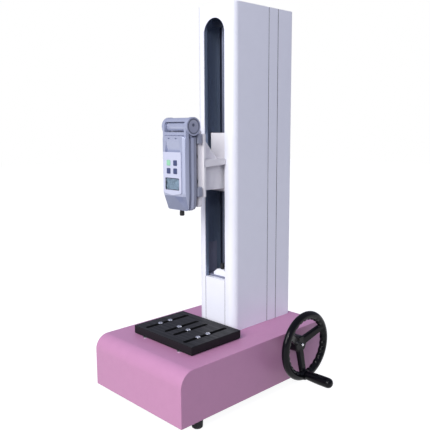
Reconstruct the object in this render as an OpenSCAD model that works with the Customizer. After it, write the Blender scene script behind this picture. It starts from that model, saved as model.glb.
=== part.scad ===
// Force gauge stand: a tall column on a sheet metal base, a carriage that a handwheel drives
// up and down through mitre gears and a lead screw, and a digital force gauge on the carriage.
// Origin: on the ground, under the middle of the base. +X is the handwheel side, +Y the back,
// +Z up. Millimetres.

/* [Base] */
// Width of the base cover
base_w = 260; // [250:5:290]
// Depth of the base cover
base_d = 400; // [390:5:440]
// Height of the base cover
base_h = 100.5; // [100:0.5:106]
// Radius of the front top edge
base_r = 28; // [18:1:32]
// Radius of the rear top edge
base_rear_r = 4; // [3:0.5:8]
// Sheet thickness of the base cover
base_sheet = 2; // [1.5:0.1:2.5]
// Height of the cover's lower edge above the ground
ground_gap = 20; // [16:1:24]
// Thickness of the steel base plate
plate_t = 10; // [8:1:12]
// Diameter of a rubber foot
foot_d = 22; // [20:1:26]
// Distance from the side of the base to a foot's centre
foot_inset_x = 17; // [16:1:22]
// Distance from the front or rear of the base to a foot's centre
foot_inset_y = 52; // [40:1:60]

/* [Column] */
// Width of the column
col_w = 103; // [102:1:110]
// Depth of the column
col_d = 178; // [176:1:190]
// Distance from the middle of the base back to the middle of the column
col_y = 96.5; // [94:0.5:98]
// Height of the column above the base
col_h = 645.5; // [630:0.5:700]
// Sheet thickness of the column covers
col_sheet = 2; // [1.5:0.1:2.2]
// Radius of the column's front corners
col_corner_r = 16; // [8:1:18]
// Radius of the column's rear corners
col_rear_r = 4; // [3:0.5:8]
// Depth of the front cover, from the front face to the seam
front_cover_d = 103.5; // [96:0.5:108]
// Width of the front slot
slot_w = 57; // [55:1:60]
// Height of the slot's lower end above the base
slot_low = 103.5; // [98:0.5:106]
// Distance from the slot's arch down from the column's top
slot_top_gap = 26; // [22:1:32]

/* [Drive] */
// Height of the handwheel's axis above the ground
axis_z = 100; // [98:0.5:101]
// Diameter of the handwheel
wheel_d = 140; // [130:1:160]
// Distance from the base's side out to the middle of the rim
wheel_out = 35.5; // [33:0.5:42]
// Turn of the handwheel at rest, forwards from straight down
wheel_turn = 4; // [0:1:20]
// Diameter of the handwheel shaft
shaft_d = 12; // [10:1:13]
// Outer diameter of the lead screw
screw_d = 16; // [14:1:16]
// Diameter of a guide rod
rod_d = 16; // [12:1:16]
// Distance from the middle of the column to a guide rod
rod_x = 27; // [26:0.5:27]
// Distance from the column's front face back to the guide rods
rod_depth = 54.5; // [53:0.5:58]
// Distance from the guide rods back to the lead screw
screw_back = 34.5; // [34:0.5:38]
// Number of teeth on each mitre gear
teeth = 20; // [18:1:24]
// Module of the mitre gears at their large end
gear_module = 1.5; // [1.25:0.25:1.5]
// Length of the teeth along the pitch cone
gear_face = 6.5; // [5:0.5:8]

/* [Table] */
// Width of the slotted table
table_w = 172; // [160:1:190]
// Depth of the slotted table
table_d = 129; // [126:1:132]
// Thickness of the slotted table
table_t = 16; // [12:1:18]
// Distance from the column's front face to the table's rear edge
table_gap_y = 14.5; // [13:0.5:18]
// Height of the spacers under the table
spacer_t = 1.5; // [1:0.1:3]
// Width of a table slot
table_slot_w = 7.6; // [6.8:0.1:8]
// Distance from the middle of the table to an outer slot
outer_slot_x = 56.5; // [50:0.5:64]
// Distance from the middle of the table to an inner slot
inner_slot_x = 13.3; // [11:0.1:18]

/* [Carriage] */
// Height of the carriage web's underside above the ground, at rest
web_z = 455; // [440:1:470]
// Width of the carriage neck that passes through the slot
neck_w = 49; // [44:1:50]
// Distance from the column's front face back to the neck's face
neck_depth = 20.5; // [18:0.5:21]
// Distance from the column's front face out to the gauge's shaft
reach = 87; // [86:0.5:100]
// Thickness of the web and of the central rib
web_t = 12; // [8:1:14]

/* [Gauge] */
// Width of the gauge's front housing
gauge_w = 66; // [64:1:70]
// Width over the hinge ears
ear_w = 72; // [72:1:76]
// Height from the carriage web's underside up to the gauge's hinge
hinge_up = 78; // [76:1:82]
// Diameter of the hinge ears and the barrel
hinge_d = 34; // [32:1:34]
// Length of the gauge below the hinge
gauge_l = 157; // [152:1:170]
// Thickness of the front housing
housing_t = 11.7; // [11:0.1:13]
// Diameter of the measuring shaft
probe_d = 8; // [6:0.5:8]
// Travel of a key
key_travel = 0.6; // [0.4:0.1:0.8]

/* [Fits] */
// Radial clearance of a shaft that turns or slides in its bore
run_fit = 0.05; // [0.03:0.01:0.08]
// Radial clearance of a screw in its hole
screw_fit = 0.1; // [0.05:0.01:0.2]
// Gap between two covers or plates that lie side by side
seam = 0.3; // [0.2:0.05:0.5]

/* [Hidden] */
$fn = 64;

// Heights and faces that several pieces share
cover_top = ground_gap + base_h;
cover_under = cover_top - base_sheet;
plate_recess = 3;
plate_z = ground_gap + plate_recess;
plate_top = plate_z + plate_t;
plate_half_w = base_w / 2 - base_sheet - 0.5;
plate_half_d = base_d / 2 - base_sheet - 0.5;
foot_x = base_w / 2 - foot_inset_x;
foot_y = base_d / 2 - foot_inset_y;
lug_x = base_w / 2 - base_sheet - 9;
lug_y = base_d / 2 - 30;
lug_w = 20;
bush_outer_r = 10;
m5_r = 2.5;
m5_head_r = 4.2;
m5_head_h = 4;
m6_r = 3;

col_front = col_y - col_d / 2;
col_back = col_y + col_d / 2;
col_top = cover_top + col_h;
seam_y = col_front + front_cover_d;
slot_z = cover_top + slot_low;
slot_apex = col_top - slot_top_gap;

frame_half_w = col_w / 2 - col_sheet - 2;
frame_wall = 3;
frame_in = frame_half_w - frame_wall;
frame_front = col_front + col_sheet + seam;
lip_t = 7;
cap_t = 2;
frame_top = col_top - cap_t;
tongue_l = 12;
tongue_t = 1.5;
groove_y = seam_y + 28;
side_seam = 3 * seam;
standoff_x = 30;
standoff_inset = 60;
angle_l = 84;
angle_leg = 34;
angle_t = 6;
angle_y = frame_front + 8;
angle_screw_y = [angle_y + 14, angle_y + angle_l - 14];

rod_y = col_front + rod_depth;
rod_r = rod_d / 2;
screw_y = rod_y + screw_back;
web_front = screw_y + 19.5;
web_back = web_front + 6;
block_gap = 0.2;
block_front = rod_y - 18;
lower_block_z = cover_top + 13;
lower_block_h = 26;
upper_block_h = 20;
upper_block_z = col_top - 36;
stop_z = slot_z + 22;
stop_front = frame_front + lip_t + 6;
stop_half = 20;
stop_d = 20;
stop_shelf_t = 6;
stop_shelf_z = slot_z + 2 - stop_shelf_t;

// The table
table_z = cover_top + spacer_t;
table_top = table_z + table_t;
table_back = col_front - table_gap_y;
table_y = table_back - table_d / 2;
outer_slot = [-55.5, 51.5];
inner_slot = [-43, 41.5];
outer_screw_y = [-21.5, 4];
inner_screw_y = -8.5;
support_edge = 18;
support_wall = 8;

// Mitre gears: pitch angle 45 degrees, sizes at the large end
pitch_r = teeth * gear_module / 2;
cone_l = pitch_r * sqrt(2);
gear_hub_r = pitch_r * 0.7;
gear_hub_end = pitch_r + 12;
gear_backlash = 0.08;
journal_r = 6;
bearing_r = 14;
bearing_t = 8;
bearing_block_t = 12;
block_half = 22;
inner_block_x = frame_half_w;
outer_block_x = base_w / 2 - base_sheet - 22;

// The carriage
neck_front = col_front + neck_depth;
saddle_z = web_z - 55;
saddle_h = 125;
saddle_half_w = frame_in - 1;
saddle_back = rod_y + 18;
neck_z = web_z - 50;
neck_h = 107;
bush_r = 14;
bush_l = 37;
nut_r = 12;
nut_flange_r = 16;
shelf_z = web_z - 3;
shelf_t = 18;

probe_y = col_front - reach;
mount_face = probe_y + 18;
mount_t = 8.5;
arm_face = mount_face + mount_t;
arm_flange_t = 4.5;
arm_half = 33;
arm_flange_half = 31;
arm_foot_t = 6;
arm_screw_sink = 6.2;
arm_screw_grip = 4;
plate_screw_sink = 4.2;
arm_cheek = 21;
cheek_t = 7;
mount_w = 66;
mount_z = web_z - 74;
mount_h = 145;

// The gauge, front to back
hinge_z = web_z + hinge_up;
hinge_r = hinge_d / 2;
gauge_low = hinge_z - gauge_l;
housing_back = probe_y - 9.8;
housing_front = housing_back - housing_t;
face_t = 2;
face_front = housing_front - face_t;
inner_front = housing_back + 0.6;
mid_front = probe_y - 3.5;
mid_back = probe_y + 2.5;
shell_back = probe_y + 13.5;
barrel_half = ear_w / 2 - 8.5;
ear_in = ear_w / 2 - 8;
shoulder_z = hinge_z - hinge_r - 2;
nose_z = gauge_low + 28;
nose_corner = 7;
pin_r = 6;
dish_r = 14.5;
barrel_r = 11.4;
pad_h = 18;
pad_z = [gauge_low + 34.5, shoulder_z - 4];
pad_depth = 4;
face_low = hinge_z - gauge_l * 0.8;
face_high = hinge_z - gauge_l * 0.3;
lcd_z = hinge_z - gauge_l * 0.678;
lcd_w = 40;
lcd_h = 23;
key_x = 9.5;
key_high_z = hinge_z - gauge_l * 0.427;
key_low_z = hinge_z - gauge_l * 0.524;
board_half = 22;
hood_half = 22;
hood_depth = 5;
cell_front = probe_y - 6;
cell_back = probe_y + 6;
cell_w = 24;
cell_low = gauge_low + 22;
cell_h = 70;
battery_low = cell_low + cell_h + 8;
battery_h = 26;
battery_w = 42;
face_half = 25.5;
key_w = 10;
key_h = 10;

// The handwheel and its crank grip
wheel_y = screw_y;
wheel_x = base_w / 2 + wheel_out;
rim_r = 9;
rim_mid = wheel_d / 2 - rim_r;
hub_r = 17;
hub_in = base_w / 2 + 3;
hub_out = wheel_x - 9.5;
spoke_r = 8.5;
spoke_end_r = 6.5;
spoke_w = 8;
crank_r = rim_mid - 2.5;
boss_r = 11;
boss_out = wheel_x + 7.5;
spindle_r = 4;
grip_l = 60;
grip_r = 10;

// Puts a part at each of four places, mirrored about both middle planes
module four(x, y) {
    for (sx = [-1, 1], sy = [-1, 1])
        translate([sx * x, sy * y, 0])
            children();
}

// Puts a part on both sides of the middle plane
module both_sides(x) {
    for (side = [-1, 1])
        translate([side * x, 0, 0])
            children();
}

// Turns a part that was made along +Z so that it points along +X
module along_x() {
    rotate([0, 90, 0])
        children();
}

// Turns a part that was made along +Z so that it points along +Y
module along_y() {
    rotate([-90, 0, 0])
        children();
}

// An outline in X and Z, made thick from y0 back to y1
module slab_y(y0, y1) {
    translate([0, y1, 0])
        rotate([90, 0, 0])
            linear_extrude(y1 - y0)
                children();
}

// An outline in Y and Z, made thick from x0 to x1
module slab_x(x0, x1) {
    translate([x0, 0, 0])
        rotate([90, 0, 90])
            linear_extrude(x1 - x0)
                children();
}

// A rectangle with exact round corners, centred
module round_rect(w, h, r) {
    square([w, h - 2 * r], center = true);
    square([w - 2 * r, h], center = true);
    for (sx = [-1, 1], sy = [-1, 1])
        translate([sx * (w / 2 - r), sy * (h / 2 - r)])
            circle(r);
}

// Side view of the base cover: flat below, round at the front and rear top edges
module base_profile(d, h, front_r, rear_r) {
    translate([-d / 2, 0])
        square([d, h - front_r]);
    translate([front_r - d / 2, 0])
        square([d - front_r - rear_r, h]);
    translate([d / 2 - rear_r - 1, 0])
        square([rear_r + 1, h - rear_r]);
    translate([front_r - d / 2, h - front_r])
        circle(front_r);
    translate([d / 2 - rear_r, h - rear_r])
        circle(rear_r);
}

// A cap screw along +Z, its head's seat at z = 0 and its shank below
module cap_screw(r, l, head_r, head_h, socket_r) {
    translate([0, 0, -l])
        cylinder(r = r, h = l);
    difference() {
        cylinder(r = head_r, h = head_h);
        translate([0, 0, head_h * 0.45])
            cylinder(r = socket_r, h = head_h, $fn = 6);
    }
}

module base_plate() {
    color("dimgray")
        difference() {
            translate([-plate_half_w, -plate_half_d, plate_z])
                cube([2 * plate_half_w, 2 * plate_half_d, plate_t]);
            four(foot_x, foot_y)
                translate([0, 0, plate_z - 1])
                    cylinder(r = m6_r + screw_fit, h = plate_t + 2);
            four(lug_x, lug_y) {
                translate([0, 0, plate_z - 1])
                    cylinder(r = m5_r + screw_fit, h = plate_t + 2);
                translate([0, 0, plate_z - 1])
                    cylinder(r = 5.5, h = 6);
            }
            angle_holes(plate_z - 1, plate_t + 2);
        }
}

module base_cover() {
    color([0.80, 0.58, 0.73])
        difference() {
            union() {
                difference() {
                    translate([0, 0, ground_gap])
                        slab_x(-base_w / 2, base_w / 2)
                            base_profile(base_d, base_h, base_r, base_rear_r);
                    translate([0, 0, ground_gap - 1])
                        slab_x(base_sheet - base_w / 2, base_w / 2 - base_sheet)
                            base_profile(base_d - 2 * base_sheet, base_h - base_sheet + 1,
                                         base_r - base_sheet, base_rear_r - base_sheet);
                }
                four(base_w / 2 - base_sheet - 8, lug_y)
                    cover_lug();
            }
            translate([-frame_half_w - 0.8, frame_front - 0.2, cover_under - 1])
                cube([2 * frame_half_w + 1.6, web_back - frame_front + 1, base_sheet + 2]);
            table_screw_places()
                translate([0, 0, cover_under - 1])
                    cylinder(r = m6_r + 0.5, h = base_sheet + 2);
            four(lug_x, lug_y)
                translate([0, 0, plate_top - 1])
                    cylinder(r = m5_r + screw_fit, h = 9);
            translate([base_w / 2 - base_sheet - 1, wheel_y, axis_z])
                along_x()
                    cylinder(r = bush_outer_r, h = base_sheet + 2);
        }
}

// A lug welded inside the cover's wall, through which a screw holds the cover to the plate
module cover_lug() {
    translate([-8, -lug_w / 2, plate_top])
        cube([16, lug_w, 12]);
}

module shaft_bush() {
    color("black")
        translate([base_w / 2 - base_sheet, wheel_y, axis_z])
            along_x()
                difference() {
                    union() {
                        cylinder(r = bush_outer_r - 0.05, h = base_sheet);
                        translate([0, 0, base_sheet])
                            cylinder(r = bush_outer_r + 3, h = 1.5);
                    }
                    translate([0, 0, -1])
                        cylinder(r = shaft_d / 2 + run_fit, h = base_sheet + 4);
                }
}

module rubber_feet() {
    color([0.08, 0.08, 0.09])
        four(foot_x, foot_y)
            difference() {
                rotate_extrude()
                    polygon([
                        [0, 0], [foot_d / 2 - 2.5, 0], [foot_d / 2 - 1, 1.5],
                        [foot_d / 2, plate_z - 2], [foot_d / 2, plate_z], [0, plate_z]
                    ]);
                translate([0, 0, -1])
                    cylinder(r = 6, h = 9);
                translate([0, 0, 7])
                    cylinder(r = m6_r + screw_fit, h = plate_z);
            }
}

module base_screws() {
    color("silver") {
        four(foot_x, foot_y)
            translate([0, 0, 8])
                rotate([180, 0, 0])
                    cap_screw(m6_r, plate_top - 9, 5, 4, 2.5);
        four(lug_x, lug_y)
            translate([0, 0, plate_z + 5])
                rotate([180, 0, 0])
                    cap_screw(m5_r, plate_t - 5 + 7, 4.5, 4, 2);
    }
}

// The six places of the table's screws
module table_screw_places() {
    translate([0, table_y, 0]) {
        for (side = [-1, 1], y = outer_screw_y)
            translate([side * outer_slot_x, y, 0])
                children();
        for (side = [-1, 1])
            translate([side * inner_slot_x, inner_screw_y, 0])
                children();
    }
}

// A steel bridge under the cover that takes the table's load to the base plate
module table_support() {
    half_w = outer_slot_x + support_edge;
    front = table_y + outer_screw_y[0] - support_edge;
    depth = outer_screw_y[1] - outer_screw_y[0] + 2 * support_edge;
    color("slategray")
        difference() {
            translate([-half_w, front, plate_top])
                cube([2 * half_w, depth, cover_under - plate_top]);
            translate([support_wall - half_w, front - 1, plate_top - 1])
                cube([2 * (half_w - support_wall), depth + 2,
                      cover_under - plate_top - support_wall - 1]);
            table_screw_places()
                translate([0, 0, plate_top])
                    cylinder(r = m6_r + screw_fit, h = cover_top);
        }
}

module table_spacers() {
    color("gainsboro")
        for (place = [[outer_slot_x - 5, 1 - table_d / 2], [outer_slot_x - 16, table_d / 2 - 14]])
            both_sides(place[0])
                translate([0, table_y + place[1], cover_top])
                    cylinder(r = 5, h = spacer_t);
}

module table_slot(x, ends) {
    for (y = ends)
        translate([x, y])
            circle(table_slot_w / 2);
    translate([x - table_slot_w / 2, ends[0]])
        square([table_slot_w, ends[1] - ends[0]]);
}

module table_plate() {
    chamfer = 1;
    color([0.10, 0.10, 0.11])
        translate([0, table_y, table_z])
            difference() {
                union() {
                    linear_extrude(table_t - chamfer)
                        square([table_w, table_d], center = true);
                    translate([0, 0, table_t - chamfer])
                        linear_extrude(chamfer)
                            square([table_w - chamfer, table_d - chamfer], center = true);
                }
                translate([0, 0, -1])
                    linear_extrude(table_t + 2) {
                        for (side = [-1, 1]) {
                            table_slot(side * outer_slot_x,
                                       [outer_slot[0] + table_slot_w / 2,
                                        outer_slot[1] - table_slot_w / 2]);
                            table_slot(side * inner_slot_x,
                                       [inner_slot[0] + table_slot_w / 2,
                                        inner_slot[1] - table_slot_w / 2]);
                        }
                    }
            }
}

module table_screws() {
    color("gainsboro")
        table_screw_places()
            translate([0, 0, table_top])
                cap_screw(m6_r, table_top - cover_under + 8, 4.9, 2.8, 2);
}

// Section of the column frame: a lipped channel, open to the front
module frame_section() {
    difference() {
        intersection() {
            translate([-frame_half_w, frame_front])
                square([2 * frame_half_w, web_back - frame_front]);
            column_plan(-col_sheet - seam);
        }
        translate([-frame_in, frame_front + lip_t])
            square([2 * frame_in, web_front - frame_front - lip_t]);
        translate([-slot_w / 2, frame_front - 1])
            square([slot_w, lip_t + 2]);
    }
}

module column_frame() {
    color([0.24, 0.29, 0.37])
        difference() {
            translate([0, 0, plate_top])
                linear_extrude(frame_top - plate_top)
                    frame_section();
            translate([frame_in - 1, wheel_y, axis_z])
                along_x()
                    cylinder(r = shaft_d / 2 + 2, h = frame_wall + 2);
            foot_screw_places()
                along_x()
                    translate([0, 0, -1])
                        cylinder(r = m5_r + screw_fit, h = 2 * frame_wall + 10, center = true);
            standoff_places()
                translate([0, web_front - 1, 0])
                    along_y()
                        cylinder(r = m5_r + screw_fit, h = 8);
        }
}

module angle_holes(z, h) {
    for (side = [-1, 1], y = angle_screw_y)
        translate([side * (frame_half_w + angle_leg * 0.6), y, z])
            cylinder(r = m6_r + screw_fit, h = h);
}

module foot_screw_places() {
    for (side = [-1, 1], y = angle_screw_y)
        translate([side * frame_half_w, y, plate_top + angle_leg * 0.6])
            rotate([0, 0, side > 0 ? 0 : 180])
                children();
}

// Angles at the foot of the frame, one on each side
module column_foot_angles() {
    color("slategray")
        difference() {
            for (side = [-1, 1])
                mirror([side > 0 ? 0 : 1, 0, 0])
                    translate([frame_half_w, angle_y, plate_top]) {
                        cube([angle_leg, angle_l, angle_t]);
                        cube([angle_t, angle_l, angle_leg]);
                    }
            angle_holes(plate_top - 1, angle_t + 2);
            foot_screw_places()
                along_x()
                    cylinder(r = m5_r + screw_fit, h = angle_t + 2);
        }
}

// Plan of the column's outer or inner outline; the front corners are the larger ones
module column_plan(grow) {
    w = col_w + 2 * grow;
    front = col_front - grow;
    back = col_back + grow;
    rf = col_corner_r + grow;
    rr = col_rear_r + grow;
    translate([-w / 2, front + rf])
        square([w, back - front - rf - rr]);
    translate([rf - w / 2, front])
        square([w - 2 * rf, rf]);
    translate([rr - w / 2, back - rr])
        square([w - 2 * rr, rr]);
    for (side = [-1, 1]) {
        translate([side * (w / 2 - rf), front + rf])
            circle(rf);
        translate([side * (w / 2 - rr), back - rr])
            circle(rr);
    }
}

module column_shell() {
    difference() {
        column_plan(0);
        column_plan(-col_sheet);
    }
}

// The long arched slot, as seen from the front
module slot_outline(w) {
    translate([-w / 2, 0])
        square([w, slot_apex - slot_w / 2]);
    translate([0, slot_apex - slot_w / 2])
        circle(w / 2);
}

module column_front_cover() {
    color("white")
        difference() {
            translate([0, 0, cover_top])
                linear_extrude(col_h)
                    intersection() {
                        column_shell();
                        translate([-col_w, col_front - 1])
                            square([2 * col_w, front_cover_d + 1 - side_seam / 2]);
                    }
            slab_y(col_front - 1, col_front + col_sheet + 1)
                slot_outline(slot_w);
        }
}

module column_rear_cover() {
    groove_w = 1.3;
    groove_deep = 1.4;
    color("white")
        difference() {
            union() {
                translate([0, 0, cover_top])
                    linear_extrude(col_h)
                        intersection() {
                            column_shell();
                            translate([-col_w, seam_y + side_seam / 2])
                                square([2 * col_w, col_d]);
                        }
                for (side = [-1, 1])
                    translate([side * (frame_half_w + 1), seam_y, cover_top + 3])
                        translate([-tongue_t / 2, -tongue_l, 0])
                            cube([tongue_t, tongue_l + 6, col_h - 12]);
                for (side = [-1, 1])
                    translate([side * (frame_half_w + 1.35), seam_y + 3.5, cover_top + 3])
                        translate([-0.9, -2, 0])
                            cube([1.8, 4, col_h - 12]);
            }
            both_sides(col_w / 2)
                translate([-groove_deep, groove_y - groove_w / 2, cover_top - 1])
                    cube([2 * groove_deep, groove_w, col_h + 2]);
            standoff_places()
                translate([0, col_back - col_sheet - 1, 0])
                    along_y()
                        cylinder(r = 2 + screw_fit, h = col_sheet + 2);
        }
}

module column_top_cap() {
    color("white")
        translate([0, 0, frame_top])
            linear_extrude(cap_t)
                column_plan(-col_sheet - seam);
}

// The plate that closes the slot below the travel, with returned edges that slip between the lips
module slot_filler_panel() {
    half = slot_w / 2 - 2.5 * seam;
    depth = col_sheet + seam + lip_t;
    color("white") {
        difference() {
            translate([-half, col_front, cover_top])
                cube([2 * half, depth, slot_low]);
            translate([col_sheet - half, col_front + col_sheet, cover_top - 1])
                cube([2 * (half - col_sheet), depth, slot_low - col_sheet + 1]);
        }
    }
}

// Places of the long spacers that hold the rear cover
module standoff_places() {
    for (side = [-1, 1], z = [cover_top + standoff_inset, col_top - standoff_inset])
        translate([side * standoff_x, 0, z])
            children();
}

module cover_standoffs() {
    color("silver")
        standoff_places() {
            translate([0, web_back, 0])
                along_y()
                    difference() {
                        cylinder(r = 5, h = col_back - col_sheet - web_back, $fn = 6);
                        translate([0, 0, col_back - col_sheet - web_back - 12])
                            cylinder(r = 2, h = 13);
                    }
            translate([0, web_front + 0.5, 0])
                along_y()
                    cylinder(r = m5_r, h = web_back - web_front);
        }
}

module rear_cover_screws() {
    color("silver")
        standoff_places()
            translate([0, col_back, 0])
                along_y()
                    cap_screw(2, col_sheet + 10, 3.6, 2.4, 1.3);
}

module guide_rods() {
    color("silver")
        both_sides(rod_x)
            translate([0, rod_y, lower_block_z + 4])
                cylinder(r = rod_r, h = upper_block_z + upper_block_h - 4 - lower_block_z - 4);
}

// Plan of an end block, from in front of the rods back to the frame's web
module block_plan() {
    translate([block_gap - frame_in, block_front])
        square([2 * (frame_in - block_gap), web_front - block_front]);
}

module lower_end_block() {
    color("lightsteelblue")
        difference() {
            translate([0, 0, lower_block_z])
                linear_extrude(lower_block_h)
                    block_plan();
            both_sides(rod_x)
                translate([0, rod_y, lower_block_z + 4])
                    cylinder(r = rod_r, h = lower_block_h);
            translate([0, screw_y, lower_block_z - 1]) {
                cylinder(r = bearing_r, h = bearing_t + 1);
                cylinder(r = journal_r + 2, h = lower_block_h + 2);
            }
        }
}

module upper_end_block() {
    color("lightsteelblue")
        difference() {
            translate([0, 0, upper_block_z])
                linear_extrude(upper_block_h)
                    block_plan();
            both_sides(rod_x)
                translate([0, rod_y, upper_block_z - 1])
                    cylinder(r = rod_r, h = upper_block_h - 3);
            translate([0, screw_y, upper_block_z - 1]) {
                cylinder(r = bearing_r, h = bearing_t + 1);
                cylinder(r = journal_r + 2, h = upper_block_h + 2);
            }
        }
}

// A ball bearing along +Z, with its shields set in between the two rings
module ball_bearing(bore_r) {
    difference() {
        cylinder(r = bearing_r, h = bearing_t);
        translate([0, 0, -1])
            cylinder(r = bore_r, h = bearing_t + 2);
        for (z = [-1, bearing_t - 0.6])
            translate([0, 0, z])
                difference() {
                    cylinder(r = bearing_r - 2.2, h = 1.6);
                    translate([0, 0, -1])
                        cylinder(r = bore_r + 2.2, h = 4);
                }
    }
}

module screw_bearings() {
    color("silver")
        translate([0, screw_y, 0]) {
            translate([0, 0, lower_block_z])
                ball_bearing(journal_r + run_fit);
            translate([0, 0, upper_block_z])
                ball_bearing(journal_r + run_fit);
        }
}

// The lead screw: plain core between the blocks, journals in the bearings, mitre gear below
module lead_screw() {
    low = axis_z + gear_hub_end - 10;
    color("silver")
        translate([0, screw_y, 0]) {
            translate([0, 0, low])
                cylinder(r = journal_r, h = upper_block_z + upper_block_h - 2 - low);
            translate([0, 0, lower_block_z + lower_block_h + 1])
                cylinder(r = screw_d / 2, h = upper_block_z - 2 - lower_block_z - lower_block_h);
        }
}

// Involute function of the pressure angle, in degrees
function involute(a) = tan(a) * 180 / PI - a;

// Half the angle of a tooth on the back cone at radius rho, where the pitch radius is rc
function half_tooth(rho, rc) =
    let (rb = rc * cos(20))
    90 * (1 - gear_backlash) / (teeth * sqrt(2)) + involute(20)
    - (rho > rb ? involute(acos(rb / rho)) : 0);

// Flank points of one tooth on the back cone: radius and angle from the tooth's middle
function flank(rc) = [
    for (rho = [rc - 1.2 * gear_module, rc - 0.4 * gear_module, rc + 0.3 * gear_module,
                rc + 0.95 * gear_module])
        [rho, half_tooth(rho, rc) * sqrt(2)]
];

// One ring of points around the gear, k of the way from the apex to the large end
function tooth_ring(k, rc) = [
    for (i = [0 : teeth - 1])
        let (f = flank(rc), mid = i * 360 / teeth)
        for (p = concat([for (q = f) [q[0], -q[1]]], [for (j = [3 : -1 : 0]) [f[j][0], f[j][1]]]))
            [
                k * p[0] / sqrt(2) * cos(mid + p[1]),
                k * p[0] / sqrt(2) * sin(mid + p[1]),
                k * (2 * pitch_r - p[0] / sqrt(2))
            ]
];

// The toothed crown of a mitre gear, apex at the origin and axis along +Z
module gear_crown() {
    small = (cone_l - gear_face) / cone_l;
    ring_a = tooth_ring(1, cone_l);
    ring_b = tooth_ring(small, cone_l);
    n = len(ring_a);
    tip_a = [0, 0, pitch_r * 1.14];
    tip_b = [0, 0, pitch_r * small * 1.08];
    polyhedron(
        points = concat(ring_a, ring_b, [tip_a, tip_b]),
        faces = concat(
            [for (i = [0 : n - 1]) [i, (i + 1) % n, n + (i + 1) % n, n + i]],
            [for (i = [0 : n - 1]) [(i + 1) % n, i, 2 * n]],
            [for (i = [0 : n - 1]) [n + i, n + (i + 1) % n, 2 * n + 1]]
        )
    );
}

// A mitre gear with its hub, apex at the origin and axis along +Z. Its mate meets it at
// 180 degrees, where an even number of teeth needs half a pitch of turn.
module mitre_gear(turn) {
    difference() {
        union() {
            rotate([0, 0, turn])
                gear_crown();
            translate([0, 0, pitch_r])
                cylinder(r = gear_hub_r, h = gear_hub_end - pitch_r);
        }
        translate([0, 0, -1])
            cylinder(r = journal_r, h = gear_hub_end + 2);
    }
}

module driven_mitre_gear() {
    color("goldenrod")
        translate([0, screw_y, axis_z])
            mitre_gear(0);
}

module drive_mitre_gear() {
    color("goldenrod")
        translate([0, wheel_y, axis_z])
            along_x()
                mitre_gear(teeth % 2 == 0 ? 180 / teeth : 0);
}

module wheel_shaft() {
    start = gear_hub_end - 10;
    color("silver")
        translate([start, wheel_y, axis_z])
            along_x() {
                cylinder(r = shaft_d / 2, h = hub_out - 3 - start);
            }
}

// The two blocks that carry the handwheel shaft: one on the frame, one on the base plate
module wheel_bearing_blocks() {
    ring_r = cover_under - axis_z - 0.3;
    color("slategray")
        difference() {
            union() {
                translate([inner_block_x, wheel_y - block_half, axis_z - block_half])
                    cube([bearing_block_t, 2 * block_half, block_half + ring_r]);
                translate([outer_block_x, wheel_y, axis_z])
                    along_x()
                        cylinder(r = ring_r, h = bearing_block_t);
                translate([outer_block_x, wheel_y - ring_r, plate_top])
                    cube([bearing_block_t, 2 * ring_r, axis_z - plate_top]);
                translate([outer_block_x - 4, wheel_y - block_half - 10, plate_top])
                    cube([bearing_block_t + 8, 2 * block_half + 20, 8]);
            }
            for (x = [inner_block_x, outer_block_x])
                translate([x, wheel_y, axis_z])
                    along_x() {
                        translate([0, 0, -1])
                            cylinder(r = shaft_d / 2 + 2, h = bearing_block_t + 2);
                        translate([0, 0, bearing_block_t - bearing_t])
                            cylinder(r = bearing_r, h = bearing_t + 1);
                    }
        }
}

module wheel_bearings() {
    color("silver")
        for (x = [inner_block_x, outer_block_x])
            translate([x + bearing_block_t - bearing_t, wheel_y, axis_z])
                along_x()
                    ball_bearing(shaft_d / 2 + run_fit);
}

module shaft_collar() {
    color("dimgray")
        translate([inner_block_x + bearing_block_t + 0.5, wheel_y, axis_z])
            along_x()
                difference() {
                    cylinder(r = 11, h = 9);
                    translate([0, 0, -1])
                        cylinder(r = shaft_d / 2, h = 11);
                }
}

// Turns the handwheel's parts about its axis, where straight down is the crank's spoke
module on_wheel() {
    translate([0, wheel_y, axis_z])
        rotate([-wheel_turn, 0, 0])
            children();
}

module rim_section() {
    translate([rim_mid, 0])
        round_rect(2 * rim_r, 2 * rim_r - 3, rim_r - 1.6);
}

module wheel_spoke() {
    hull() {
        translate([hub_out - spoke_w - 2, 0, -hub_r + 4])
            along_x()
                cylinder(r = spoke_r, h = spoke_w, $fn = 24);
        translate([wheel_x - 4.5, 0, -rim_mid])
            along_x()
                cylinder(r = spoke_end_r, h = spoke_w, $fn = 24);
    }
}

module handwheel() {
    waves = 27;
    color([0.06, 0.06, 0.07])
        on_wheel()
            difference() {
                union() {
                    difference() {
                        translate([wheel_x, 0, 0])
                            along_x()
                                rotate_extrude($fn = 96)
                                    rim_section();
                        for (i = [0 : waves - 1])
                            rotate([(i + 0.5) * 360 / waves, 0, 0])
                                translate([wheel_x - 10, 0, -(rim_mid - rim_r - 2)])
                                    along_x()
                                        cylinder(r = 4, h = 20, $fn = 24);
                    }
                    for (a = [0, 120, 240])
                        rotate([a, 0, 0])
                            wheel_spoke();
                    translate([hub_in, 0, 0])
                        along_x()
                            cylinder(r = hub_r, h = hub_out - hub_in);
                    translate([wheel_x - 6, 0, -crank_r])
                        along_x()
                            cylinder(r = boss_r, h = boss_out - wheel_x + 6);
                }
                translate([hub_in - 1, 0, 0])
                    along_x()
                        cylinder(r = shaft_d / 2, h = hub_out - hub_in + 5);
                translate([wheel_x - 12, 0, -crank_r])
                    along_x()
                        cylinder(r = spindle_r, h = 30);
            }
}

module hub_screw() {
    color("gainsboro")
        on_wheel()
            translate([hub_out, 0, 0])
                along_x()
                    cap_screw(m6_r, 2.8, 5.2, 3, 2.5);
}

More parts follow.
